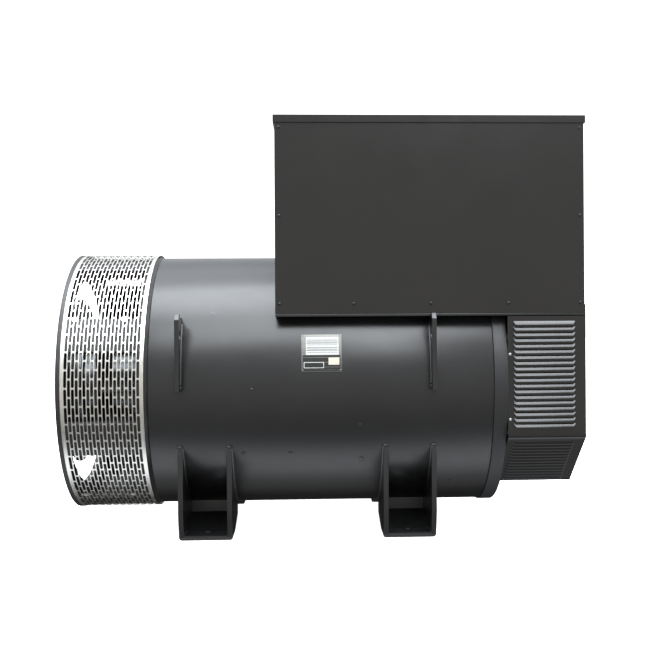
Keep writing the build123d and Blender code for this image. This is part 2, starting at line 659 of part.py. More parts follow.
with BuildPart() as fan:
    flats(FAN_X, FAN_X + FAN_PLATE_T, 2 * FAN_BLADES, FAN_R)
    ring(FAN_X, FAN_X + FAN_PLATE_T, CORE_SEAT_R + SEAT_GAP, mode=Mode.SUBTRACT)
    blade_span = (FAN_R - FAN_INLET_R) / cos(radians(BLADE_LEAN)) - 2 * BLADE_T
    with BuildSketch(Plane.YZ.offset(FAN_X + FAN_PLATE_T)) as blades:
        with PolarLocations((FAN_R + FAN_INLET_R) / 2, FAN_BLADES):
            Rectangle(blade_span, BLADE_T, rotation=BLADE_LEAN)
    extrude(blades.sketch, amount=BLADE_LENGTH)
save(fan.part, "fan")

with BuildPart() as rotor_core:
    with BuildSketch(Plane.YZ.offset(CORE_X)):
        RegularPolygon(ROTOR_HUB_R, 2 * POLES, major_radius=False)
        with PolarLocations(ROTOR_R / 2, POLES, start_angle=180 / POLES):
            Rectangle(ROTOR_R, POLE_WIDTH)
        with PolarLocations(ROTOR_R - POLE_TIP_T / 2, POLES, start_angle=180 / POLES):
            Rectangle(POLE_TIP_T, POLE_TIP_WIDTH)
        Circle(ROTOR_R, mode=Mode.INTERSECT)
        Circle(CORE_SEAT_R + SEAT_GAP, mode=Mode.SUBTRACT)
    extrude(amount=CORE_LENGTH)
save(rotor_core.part, "rotor_core")

# Field coils: a rectangular ring round each pole, under its tip
coil_floor_r = ROTOR_HUB_R / cos(pi / (2 * POLES)) + SEAT_GAP
coil_top_r = ROTOR_R - POLE_TIP_T - SEAT_GAP
hole_width = POLE_WIDTH + 2 * SEAT_GAP
hole_length = CORE_LENGTH + 2 * SEAT_GAP
with BuildPart() as field_coils:
    with Locations(Plane.YZ.offset((CORE_X + CORE_END) / 2)):
        with PolarLocations((coil_floor_r + coil_top_r) / 2, POLES, start_angle=180 / POLES):
            Box(coil_top_r - coil_floor_r, hole_width + 2 * COIL_THICK, hole_length + 2 * COIL_THICK)
            Box(coil_top_r - coil_floor_r, hole_width, hole_length, mode=Mode.SUBTRACT)
save(field_coils.part, "field_coils")

with BuildPart() as exciter_rotor:
    exciter_flat_r = (EXCITER_BORE_R - AIR_GAP) * cos(pi / STACK_FLATS)
    flats(EXCITER_X, EXCITER_END, STACK_FLATS, exciter_flat_r, EXCITER_SEAT_R + SEAT_GAP)
save(exciter_rotor.part, "exciter_rotor")

with BuildPart() as rectifier:
    rectifier_flat_r = RECTIFIER_R * cos(pi / RECTIFIER_SIDES)
    flats(RECTIFIER_X, EXCITER_X, RECTIFIER_SIDES, rectifier_flat_r, EXCITER_SEAT_R + SEAT_GAP)
save(rectifier.part, "rectifier")
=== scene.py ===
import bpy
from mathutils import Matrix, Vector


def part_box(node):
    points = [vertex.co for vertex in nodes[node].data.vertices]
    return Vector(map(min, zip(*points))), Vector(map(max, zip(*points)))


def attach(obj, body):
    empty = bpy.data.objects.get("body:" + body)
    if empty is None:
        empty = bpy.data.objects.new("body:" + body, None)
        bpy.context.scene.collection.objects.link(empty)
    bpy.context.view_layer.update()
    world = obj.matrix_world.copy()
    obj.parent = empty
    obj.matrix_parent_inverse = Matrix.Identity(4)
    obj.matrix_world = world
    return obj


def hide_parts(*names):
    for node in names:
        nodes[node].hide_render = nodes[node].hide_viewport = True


bl_info = {
    "name": "Generator alternator head",
    "version": (1, 0, 0),
    "blender": (4, 5, 0),
    "location": "View3D > Sidebar > Alternator",
    "description": "Dresses the alternator head with its outer pieces, finishes and a studio",
    "category": "Object",
}

from math import acos, asin, atan2, cos, hypot, pi, radians, sin, sqrt

import bmesh
import bpy
from bpy.props import FloatProperty, FloatVectorProperty, IntProperty, PointerProperty
from mathutils import Matrix, Vector

# +X runs from the drive end to the non-drive end, +Z is up, the camera looks from -Y.
# Every length is in metres.
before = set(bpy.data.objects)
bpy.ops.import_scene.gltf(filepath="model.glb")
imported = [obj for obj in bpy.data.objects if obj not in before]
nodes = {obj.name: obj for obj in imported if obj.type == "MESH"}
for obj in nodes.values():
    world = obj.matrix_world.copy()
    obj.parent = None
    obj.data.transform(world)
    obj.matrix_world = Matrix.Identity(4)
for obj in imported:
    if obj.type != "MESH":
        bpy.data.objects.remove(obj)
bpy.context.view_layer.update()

STATOR = "stator"
ROTOR = "rotor"
SIDES = (("left", -1), ("right", 1))
# What follows the first word of each foot's and lug's name, and the sign of its side
CORNERS = [(f"{end}_{side}", sign) for end in ("de", "nde") for side, sign in SIDES]
BROAD_FACE = 0.0022           # mean width from which a face counts as broad
CURVED = (0.5, 20.0)          # degrees between broad faces that are one curved surface

BARREL_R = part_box("frame_barrel")[1].y
FLANGE_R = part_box("de_adaptor")[1].y
SCREEN_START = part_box("de_screen_left")[0].x
SCREEN_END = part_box("de_screen_left")[1].x
FLOOR_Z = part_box("foot_de_left")[0].z
box_low, box_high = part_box("box_panel_left")
cover_low, cover_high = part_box("nde_cover")
plate_low, plate_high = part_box("rating_plate")

WASHER = 0.0012               # thickness of every screw's washer
SUNK = 0.0004                 # how far the box's and the cover's screws lie in their panels
ACROSS = (0.0, 1.0, 1.0)      # keeps the part of a vector that runs across the shaft


def linear(hex_colour):
    """Turn an sRGB hex value into the linear red, green, blue and alpha that shaders use."""
    channels = [int(hex_colour[i : i + 2], 16) / 255 for i in (1, 3, 5)]
    return [c / 12.92 if c <= 0.04045 else ((c + 0.055) / 1.055) ** 2.4 for c in channels] + [1.0]


# ------------------------------------------------------------------ properties


class AlternatorSizes(bpy.types.PropertyGroup):
    """Sizes of the pieces that dress the machine"""

    slot_width: FloatProperty(
        name="Screen slot width", description="Width of a slot in the screen",
        default=0.0091, unit="LENGTH")
    slot_columns: IntProperty(
        name="Screen slot columns", description="Columns of slots along the shaft", default=20)
    slots_round: IntProperty(
        name="Screen slots per turn", description="Slots of one column round the machine",
        default=48)
    slot_bridge: FloatProperty(
        name="Screen slot bridge", description="Metal left between two slots of a column",
        default=0.0040, unit="LENGTH")
    sheet: FloatProperty(
        name="Screen sheet", description="Thickness of the screen's sheet",
        default=0.0010, unit="LENGTH")
    bead_width: FloatProperty(
        name="Weld bead", description="Radius of the weld beads", default=0.0045, unit="LENGTH")


class AlternatorFinishes(bpy.types.PropertyGroup):
    """Colours of the visible finishes"""

    enamel: FloatVectorProperty(
        name="Machinery enamel", description="Dark grey enamel on the welded frame",
        subtype="COLOR", size=4, min=0, max=1, default=linear("#111112"))
    sheet_enamel: FloatVectorProperty(
        name="Sheet enamel", description="Dark grey enamel on the folded sheet metal",
        subtype="COLOR", size=4, min=0, max=1, default=linear("#100f0e"))
    stainless: FloatVectorProperty(
        name="Stainless", description="Rolled stainless sheet of the screen",
        subtype="COLOR", size=4, min=0, max=1, default=linear("#d9d6d0"))


class AlternatorStudio(bpy.types.PropertyGroup):
    """Camera and light"""

    lens: FloatProperty(name="Lens", description="Focal length in millimetres", default=55.80)
    key: FloatProperty(name="Ceiling light", description="Power in watts", default=480.0)
    front: FloatProperty(name="Front light", description="Power in watts", default=345.0)
    side: FloatProperty(name="Side light", description="Power in watts", default=55.0)
    fill: FloatProperty(
        name="Surroundings", description="Strength of the room's own light", default=2.0)


# ------------------------------------------------------------------- materials


def add(tree, kind, settings=None, links=None):
    """Add a shader node with its settings, given by socket or property name, and its links."""
    node = tree.nodes.new(kind)
    for name, value in (settings or {}).items():
        if isinstance(name, int) or name in node.inputs:
            node.inputs[name].default_value = value
        else:
            setattr(node, name, value)
    for name, output in (links or {}).items():
        tree.links.new(output, node.inputs[name])
    return node


def shades(tree, factor, stops):
    """Add a colour ramp of (position, hex or linear colour) stops over a factor."""
    ramp = add(tree, "ShaderNodeValToRGB", links={"Fac": factor})
    elements = ramp.color_ramp.elements
    elements[0].position, elements[-1].position = stops[0][0], stops[-1][0]
    for position, colour in stops[1:-1]:
        elements.new(position)
    for element, (position, colour) in zip(elements, stops):
        element.color = linear(colour) if isinstance(colour, str) else colour
    return ramp.outputs["Color"]


def once(maker):
    """Make a finish the first time that a piece asks for it, and hand it out after that."""

    def get():
        return bpy.data.materials.get(maker.__name__) or maker()

    return get


def new_finish(name, **sockets):
    """Start a material: its tree, its shader with these sockets set, and object coordinates."""
    material = bpy.data.materials.new(name)
    material.use_nodes = True
    tree = material.node_tree
    shader = next(n for n in tree.nodes if n.type == "BSDF_PRINCIPLED")
    for socket, value in sockets.items():
        shader.inputs[socket.replace("_", " ")].default_value = value
    place = add(tree, "ShaderNodeTexCoord").outputs["Object"]
    return material, tree, shader, place


def grain(tree, place, size, detail=3.0, roughness=0.55, stretch=(1, 1, 1)):
    """Add noise whose features are about size metres across, drawn out by the stretch."""
    drawn = add(tree, "ShaderNodeMapping", {"Scale": stretch}, {"Vector": place})
    return add(
        tree, "ShaderNodeTexNoise",
        {"Scale": 1 / size, "Detail": detail, "Roughness": roughness},
        {"Vector": drawn.outputs["Vector"]},
    ).outputs["Fac"]


def tool_rings(tree, place, size):
    """Add noise in rings round the shaft's axis, as a lathe or a grinder leaves them."""
    flat = add(tree, "ShaderNodeVectorMath", {"operation": "MULTIPLY", 1: ACROSS}, {0: place})
    radius = add(
        tree, "ShaderNodeVectorMath", {"operation": "LENGTH"}, {0: flat.outputs["Vector"]})
    along = add(tree, "ShaderNodeSeparateXYZ", links={"Vector": place}).outputs["X"]
    spot = add(tree, "ShaderNodeCombineXYZ", links={"X": along, "Y": radius.outputs["Value"]})
    return grain(tree, spot.outputs["Vector"], size, detail=2)


def tint(tree, shader, factor, stops):
    """Colour the shader by a ramp of (position, colour) stops over a factor."""
    tree.links.new(shades(tree, factor, stops), shader.inputs["Base Color"])


def roughen(tree, shader, factor, low, high):
    """Spread the shader's roughness from low to high over the middle of a noise."""
    spread = add(
        tree, "ShaderNodeMapRange",
        {"From Min": 0.3, "From Max": 0.7, "To Min": low, "To Max": high}, {"Value": factor})
    tree.links.new(spread.outputs["Result"], shader.inputs["Roughness"])


def scaled(colour, share):
    """A linear colour made paler or darker by a share, with a full alpha."""
    return [min(1.0, c * share) for c in colour[:3]] + [1.0]


def relief(tree, shader, height, depth, strength=1.0):
    """Give the shader a bump of this height field and depth in metres."""
    bump = add(
        tree, "ShaderNodeBump", {"Strength": strength, "Distance": depth}, {"Height": height})
    tree.links.new(bump.outputs["Normal"], shader.inputs["Normal"])


@once
def machinery_enamel():
    """Two-part satin machinery enamel, sprayed over welded steel plate."""
    # Spraying leaves an even dark grey with faint clouds, a soft gloss and a little orange peel
    colour = bpy.context.scene.alternator_finishes.enamel
    material, tree, shader, place = new_finish(
        "machinery_enamel", Metallic=0.0, IOR=1.48, Coat_Weight=0.15, Coat_Roughness=0.28)
    cloud = grain(tree, place, 0.16, detail=4)
    tint(tree, shader, cloud, [(0.35, list(colour)), (0.65, scaled(colour, 1.25))])
    roughen(tree, shader, grain(tree, place, 0.05), 0.29, 0.34)
    # Orange peel is about 2 mm across, drawn at 5 mm so that it shows
    relief(tree, shader, grain(tree, place, 0.005, detail=2), 0.00012, 0.35)
    return material


@once
def sheet_enamel():
    """Satin powder coat on folded sheet steel."""
    # Sheet is flatter than plate, so the gloss is even, and its fine peel is drawn at 3 mm
    colour = bpy.context.scene.alternator_finishes.sheet_enamel
    material, tree, shader, place = new_finish(
        "sheet_enamel", Metallic=0.0, IOR=1.48, Coat_Weight=0.1, Coat_Roughness=0.2)
    cloud = grain(tree, place, 0.25, detail=3)
    tint(tree, shader, cloud, [(0.35, list(colour)), (0.65, scaled(colour, 1.18))])
    roughen(tree, shader, grain(tree, place, 0.08), 0.17, 0.21)
    relief(tree, shader, grain(tree, place, 0.003, detail=2), 0.00008, 0.35)
    return material


@once
def painted_casting():
    """Dark paint over a sand-cast surface."""
    # Sand casting: a coarse stipple, about 3 mm, that breaks up the gloss
    material, tree, shader, place = new_finish(
        "painted_casting", Metallic=0.0, IOR=1.48, Coat_Weight=0.1, Coat_Roughness=0.3)
    stipple = grain(tree, place, 0.0035, detail=4, roughness=0.65)
    tint(tree, shader, stipple, [(0.35, "#0e0e0f"), (0.55, "#151516"), (0.75, "#1f1f21")])
    roughen(tree, shader, stipple, 0.42, 0.6)
    relief(tree, shader, stipple, 0.0006, 0.7)
    return material


@once
def rolled_stainless():
    """Cold-rolled stainless sheet, perforated and rolled round the adaptor."""
    # Rolling leaves fine lines round the sheet, drawn at 2 mm, which stretch reflections a little
    colour = bpy.context.scene.alternator_finishes.stainless
    material, tree, shader, place = new_finish("rolled_stainless", Metallic=1.0)
    lines = grain(tree, place, 0.002, detail=2, stretch=(1.0, 0.06, 0.06))
    tint(tree, shader, lines, [(0.3, scaled(colour, 0.82)), (0.6, list(colour))])
    roughen(tree, shader, lines, 0.24, 0.38)
    relief(tree, shader, lines, 0.00005, 0.3)
    return material


@once
def zinc_plate():
    """Zinc-plated screws and washers."""
    # Zinc goes on in a thin layer of crystals, seen as faint cloudy patches on a bright ground
    material, tree, shader, place = new_finish("zinc_plate", Metallic=1.0)
    cloud = grain(tree, place, 0.004)
    tint(tree, shader, cloud, [(0.3, "#a9abac"), (0.7, "#d5d6d6")])
    roughen(tree, shader, cloud, 0.25, 0.42)
    return material


@once
def black_zinc():
    """Black-passivated zinc of the box's screws."""
    # The passivation is thin, so it keeps a little of the metal's sheen on a dark ground
    material, tree, shader, place = new_finish("black_zinc", Metallic=0.6)
    cloud = grain(tree, place, 0.003)
    tint(tree, shader, cloud, [(0.3, "#1c1c1e"), (0.7, "#2c2c2f")])
    roughen(tree, shader, cloud, 0.3, 0.42)
    return material


@once
def turned_steel():
    """Turned steel of the shaft and coupling disc, in dark grey tones."""
    # The tool leaves rings round the axis, drawn at 3 mm so that they show
    material, tree, shader, place = new_finish("turned_steel", Metallic=1.0)
    rings = tool_rings(tree, place, 0.003)
    # Both tones are a dark grey, far below the brightness of bare turned steel
    tint(tree, shader, rings, [(0.3, "#56595b"), (0.7, "#707375")])
    roughen(tree, shader, rings, 0.28, 0.42)
    relief(tree, shader, rings, 0.00006, 0.4)
    return material


@once
def electrical_steel():
    """Varnished stack of electrical steel sheets."""
    # Sheets of half a millimetre, drawn as 4 mm bands along the shaft so that they show
    material, tree, shader, place = new_finish(
        "electrical_steel", Metallic=0.3, Roughness=0.5, Coat_Weight=0.4, Coat_Roughness=0.3)
    bands = add(
        tree, "ShaderNodeTexWave",
        {"Scale": 40.0, "Distortion": 0.4, "bands_direction": "X"}, {"Vector": place},
    ).outputs["Fac"]
    tint(tree, shader, bands, [(0.2, "#2a1d17"), (0.8, "#4a3a30")])
    relief(tree, shader, bands, 0.0004, 0.5)
    return material


@once
def varnished_copper():
    """Enamelled copper wire, taped and dipped in red-brown varnish."""
    # Bundles about 12 mm wide show through the varnish as soft ridges
    material, tree, shader, place = new_finish(
        "varnished_copper", Metallic=0.2, IOR=1.55, Coat_Weight=0.5, Coat_Roughness=0.25)
    bundles = add(
        tree, "ShaderNodeTexVoronoi", {"Scale": 70.0}, {"Vector": place}).outputs["Distance"]
    tint(tree, shader, bundles, [(0.1, "#7a3a1c"), (0.6, "#4a1f10")])
    roughen(tree, shader, bundles, 0.35, 0.55)
    relief(tree, shader, bundles, 0.002, 0.6)
    return material


@once
def tinned_copper():
    """Tinned copper bar of the terminals."""
    # The tin is wiped on hot, so copper shows through it in smears about 10 mm across
    material, tree, shader, place = new_finish("tinned_copper", Metallic=1.0)
    smear = grain(tree, place, 0.01)
    tint(tree, shader, smear, [(0.35, "#b3764c"), (0.65, "#c9b9a6")])
    roughen(tree, shader, smear, 0.3, 0.45)
    return material


@once
def glass_fibre_board():
    """Pressed glass-fibre insulating board."""
    # The pressed mat shows as short pale fibres under resin, drawn at 3 mm
    material, tree, shader, place = new_finish(
        "glass_fibre_board", Metallic=0.0, IOR=1.5, Roughness=0.5)
    fibres = grain(tree, place, 0.003, detail=5, stretch=(1.0, 0.3, 1.0))
    tint(tree, shader, fibres, [(0.3, "#8f7a55"), (0.7, "#b8a67c")])
    relief(tree, shader, fibres, 0.0002, 0.4)
    return material


@once
def potting_resin():
    """Dark blue potting resin and housing of the electronics."""
    # Resin sets glassy over its filler: faint clouds under a clear gloss
    material, tree, shader, place = new_finish(
        "potting_resin", Metallic=0.0, IOR=1.5, Coat_Weight=0.5, Coat_Roughness=0.15)
    cloud = grain(tree, place, 0.02)
    tint(tree, shader, cloud, [(0.3, "#0f1626"), (0.7, "#1a2438")])
    roughen(tree, shader, cloud, 0.3, 0.45)
    return material


@once
def brushed_aluminium():
    """Brushed aluminium of the rating plate, under a grey lacquer."""
    # Brushing runs along the plate in lines finer than a millimetre, drawn at 1.5 mm, and the
    # lacquer takes most of the metal's brightness away
    material, tree, shader, place = new_finish("brushed_aluminium", Metallic=1.0)
    lines = grain(tree, place, 0.0015, detail=2, stretch=(0.08, 1.0, 1.0))
    tint(tree, shader, lines, [(0.3, "#5d5e5b"), (0.7, "#70716d")])
    roughen(tree, shader, lines, 0.36, 0.48)
    return material


def printed_field(name, colour, light):
    """Flat print or label on the rating plate, matt, from one colour to a lighter one."""
    # Ink and paper are chalky: hardly any gloss, and specks about 4 mm across
    material, tree, shader, place = new_finish(
        name, Metallic=0.0, IOR=1.5, Roughness=0.55, Specular_IOR_Level=0.15)
    speck = grain(tree, place, 0.004)
    tint(tree, shader, speck, [(0.3, colour), (0.7, light)])
    return material


@once
def white_ink():
    """White screen-printed field, seen as a plain matt white."""
    return printed_field("white_ink", "#b2b2b1", "#bebebd")


@once
def black_ink():
    """Dark screen-printed field, a little warmer than the enamel round it."""
    return printed_field("black_ink", "#20211f", "#2b2c2a")


@once
def grey_ink():
    """Grey screen-printed rules, seen as faint lines on the white field."""
    return printed_field("grey_ink", "#626364", "#707172")


@once
def paper_label():
    """Blank paper label, gummed on and a little yellowed."""
    return printed_field("paper_label", "#aca597", "#bab3a6")


@once
def cast_aluminium():
    """Sand-cast aluminium of the fan, in dark grey tones."""
    # Casting skin: dull, with a grain about 3 mm across that scatters the light
    material, tree, shader, place = new_finish("cast_aluminium", Metallic=1.0)
    skin = grain(tree, place, 0.003)
    # Both tones are a dark grey, far below the brightness of bare cast aluminium
    tint(tree, shader, skin, [(0.3, "#3c3d3f"), (0.7, "#505153")])
    roughen(tree, shader, skin, 0.45, 0.6)
    relief(tree, shader, skin, 0.0004, 0.5)
    return material


@once
def ground_steel():
    """Ground bearing steel."""
    # Grinding leaves rings too fine to see one by one, drawn at 2 mm: bright, with soft streaks
    material, tree, shader, place = new_finish("ground_steel", Metallic=1.0)
    rings = tool_rings(tree, place, 0.002)
    tint(tree, shader, rings, [(0.3, "#b9bbbd"), (0.7, "#dcddde")])
    roughen(tree, shader, rings, 0.15, 0.25)
    return material


@once
def weld_metal():
    """Weld bead under paint."""
    # The bead sets in ripples, and the paint pools between them, so it glints unevenly
    material, tree, shader, place = new_finish(
        "weld_metal", Metallic=0.0, IOR=1.5, Coat_Weight=0.35, Coat_Roughness=0.25)
    ripple = grain(tree, place, 0.004)
    tint(tree, shader, ripple, [(0.3, "#161617"), (0.7, "#29292a")])
    roughen(tree, shader, ripple, 0.35, 0.5)
    relief(tree, shader, ripple, 0.0005, 0.5)
    return material


@once
def studio_paper():
    """Seamless paper of the studio, pale and matt."""
    # Lit from behind so that it stays even and pale from every side, with no shadow lines
    material, tree, shader, place = new_finish(
        "studio_paper", Metallic=0.0, Roughness=0.9, Emission_Strength=1.0)
    shader.inputs["Emission Color"].default_value = linear("#ffffff")
    fibre = grain(tree, place, 0.4)
    tint(tree, shader, fibre, [(0.3, "#f4f4f4"), (0.7, "#f8f8f8")])
    return material


# --------------------------------------------------------------- shaping tools


def shade(bm, sharp):
    """Smooth what curves, and keep broad flat faces flat right up to their rounded edges."""
    broad = {f for f in bm.faces if 2 * f.calc_area() / f.calc_perimeter() > BROAD_FACE}
    for face in bm.faces:
        bends = [e.calc_face_angle(0.0) for e in face.edges if broad.issuperset(e.link_faces)]
        curved = any(radians(CURVED[0]) < bend < radians(CURVED[1]) for bend in bends)
        face.smooth = face not in broad or curved
    for edge in bm.edges:
        edge.smooth = edge.is_manifold and edge.calc_face_angle(0.0) < radians(sharp)


def finish_piece(name, bm, material, body, replaces=(), sharp=35.0):
    """Turn a bmesh into a named piece that rides on a body and may stand for CAD nodes."""
    shade(bm, sharp)
    mesh = bpy.data.meshes.new(name)
    bm.to_mesh(mesh)
    bm.free()
    mesh.materials.append(material)
    piece = bpy.data.objects.new(name, mesh)
    bpy.context.scene.collection.objects.link(piece)
    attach(piece, body)
    if replaces:
        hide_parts(*replaces)


def verts_of(geom):
    """The vertices among the geometry that a bmesh operator hands back."""
    return [g for g in geom if isinstance(g, bmesh.types.BMVert)]


def added(bm, before):
    """The vertices of a bmesh that aren't in the set from before."""
    return [v for v in bm.verts if v not in before]


def faces_of(verts):
    """The faces that use any of the vertices."""
    return list({f for v in verts for f in v.link_faces})


def ring_edges(ring):
    """The edges that join the vertices of a ring to each other."""
    return [e for e in {e for v in ring for e in v.link_edges} if set(ring).issuperset(e.verts)]


def thicken(bm, faces, thickness):
    """Turn a sheet's faces outwards, give it its thickness, and turn all faces outwards."""
    bmesh.ops.recalc_face_normals(bm, faces=faces)
    bmesh.ops.solidify(bm, geom=faces, thickness=thickness)
    bmesh.ops.recalc_face_normals(bm, faces=bm.faces)


def block(bm, low, high):
    """Add a box between two corners, and hand back its vertices."""
    size = high - low
    return bmesh.ops.create_cube(
        bm, size=1.0,
        matrix=Matrix.Translation((low + high) / 2) @ Matrix.Diagonal((*size, 1.0)))["verts"]


def turned(bm, profile, origin, axis, steps):
    """Spin a profile of (radius, height) points into a closed piece on an axis."""
    before = set(bm.verts)
    chain = [bm.verts.new((radius, 0, height)) for radius, height in profile]
    edges = [bm.edges.new(pair) for pair in zip(chain, chain[1:])]
    bmesh.ops.spin(
        bm, geom=chain + edges, cent=(0, 0, 0), axis=(0, 0, 1), dvec=(0, 0, 0),
        angle=2 * pi, steps=steps, use_merge=True)
    bmesh.ops.remove_doubles(bm, verts=added(bm, before), dist=1e-6)
    new = added(bm, before)
    bmesh.ops.recalc_face_normals(bm, faces=faces_of(new))
    turn = Vector(axis).to_track_quat("Z", "Y").to_matrix().to_4x4()
    bmesh.ops.transform(bm, matrix=Matrix.Translation(origin) @ turn, verts=new)


def dome_screw(bm, origin, axis, radius, height, washer=0.0):
    """Add a domed screw head, on a washer of this radius if one is asked for."""
    thick = WASHER if washer else 0.0
    if washer:
        turned(bm, [(0, 0), (washer, 0), (washer, thick), (0, thick)], origin, axis, 20)
    top = height + thick
    profile = [
        (0, thick * 0.5), (radius, thick * 0.5), (radius, thick + height * 0.35),
        (radius * 0.8, thick + height * 0.75), (radius * 0.45, top * 0.97), (0, top)]
    turned(bm, profile, origin, axis, 14)


def merged_copy(node):
    """A bmesh copy of a CAD node, with its loose triangles joined into flat faces."""
    bm = bmesh.new()
    bm.from_mesh(nodes[node].data)
    bmesh.ops.remove_doubles(bm, verts=bm.verts, dist=1e-6)
    bmesh.ops.dissolve_limit(
        bm, angle_limit=radians(0.5), use_dissolve_boundaries=False,
        verts=bm.verts, edges=bm.edges)
    return bm


def rounded(bm, edges, width, segments):
    """Round some edges of a bmesh."""
    bmesh.ops.bevel(
        bm, geom=edges, offset=width, offset_type="OFFSET", segments=segments, profile=0.5,
        affect="EDGES", clamp_overlap=True, material=-1)


def ease(bm, width, segments=2, angle=40.0):
    """Round the edges of a bmesh that are sharper than the angle."""
    sharp = [e for e in bm.edges if e.is_manifold and e.calc_face_angle(0.0) > radians(angle)]
    rounded(bm, sharp, width, segments)


def eased_node(node, name, width, material, body=STATOR, segments=2):
    """Stand in for a CAD node with the same piece, its edges rounded."""
    bm = merged_copy(node)
    ease(bm, width, segments)
    finish_piece(name, bm, material, body, replaces=(node,))


def bead(bm, points, radius, sides=8, ripple=0.18):
    """Lay a rippled weld bead along a line of points."""
    places = [Vector(p) for p in points]
    last = len(places) - 1
    before = None
    for i, place in enumerate(places):
        ahead = places[min(i + 1, last)] - places[max(i - 1, 0)]
        turn = ahead.to_track_quat("Z", "Y").to_matrix().to_4x4()
        taper = 0.45 if i in (0, last) else 1.0
        size = radius * taper * (1 + ripple * (-1) ** i)
        here = Matrix.Translation(place) @ turn @ Matrix.Scale(size, 4)
        if before is None:
            ring = bmesh.ops.create_circle(bm, cap_ends=True, radius=1.0, segments=sides)["verts"]
            bmesh.ops.transform(bm, matrix=here, verts=ring)
        else:
            grown = bmesh.ops.extrude_edge_only(bm, edges=ring_edges(ring))["geom"]
            ring = verts_of(grown)
            bmesh.ops.transform(bm, matrix=here @ before.inverted(), verts=ring)
        before = here
    bmesh.ops.contextual_create(bm, geom=ring_edges(ring))


def on_barrel(x, y_sign, z, lift=0.0):
    """A point of the barrel at height z on one side, and the way out from it."""
    out = Vector((0, y_sign * sqrt(BARREL_R**2 - z**2), z)).normalized()
    return Vector((x, 0, 0)) + out * (BARREL_R + lift), out


def barrel_arc(x, y_sign, first, last, steps):
    """Points round the barrel at one side, between two angles above the plane of the shaft."""
    angles = [first + (last - first) * i / steps for i in range(steps + 1)]
    return [(x, y_sign * BARREL_R * cos(a), BARREL_R * sin(a)) for a in angles]


def mirrored(vector):
    """The same vector on the other side of the machine."""
    return Vector((vector.x, -vector.y, vector.z))


# ---------------------------------------------------------------------- pieces


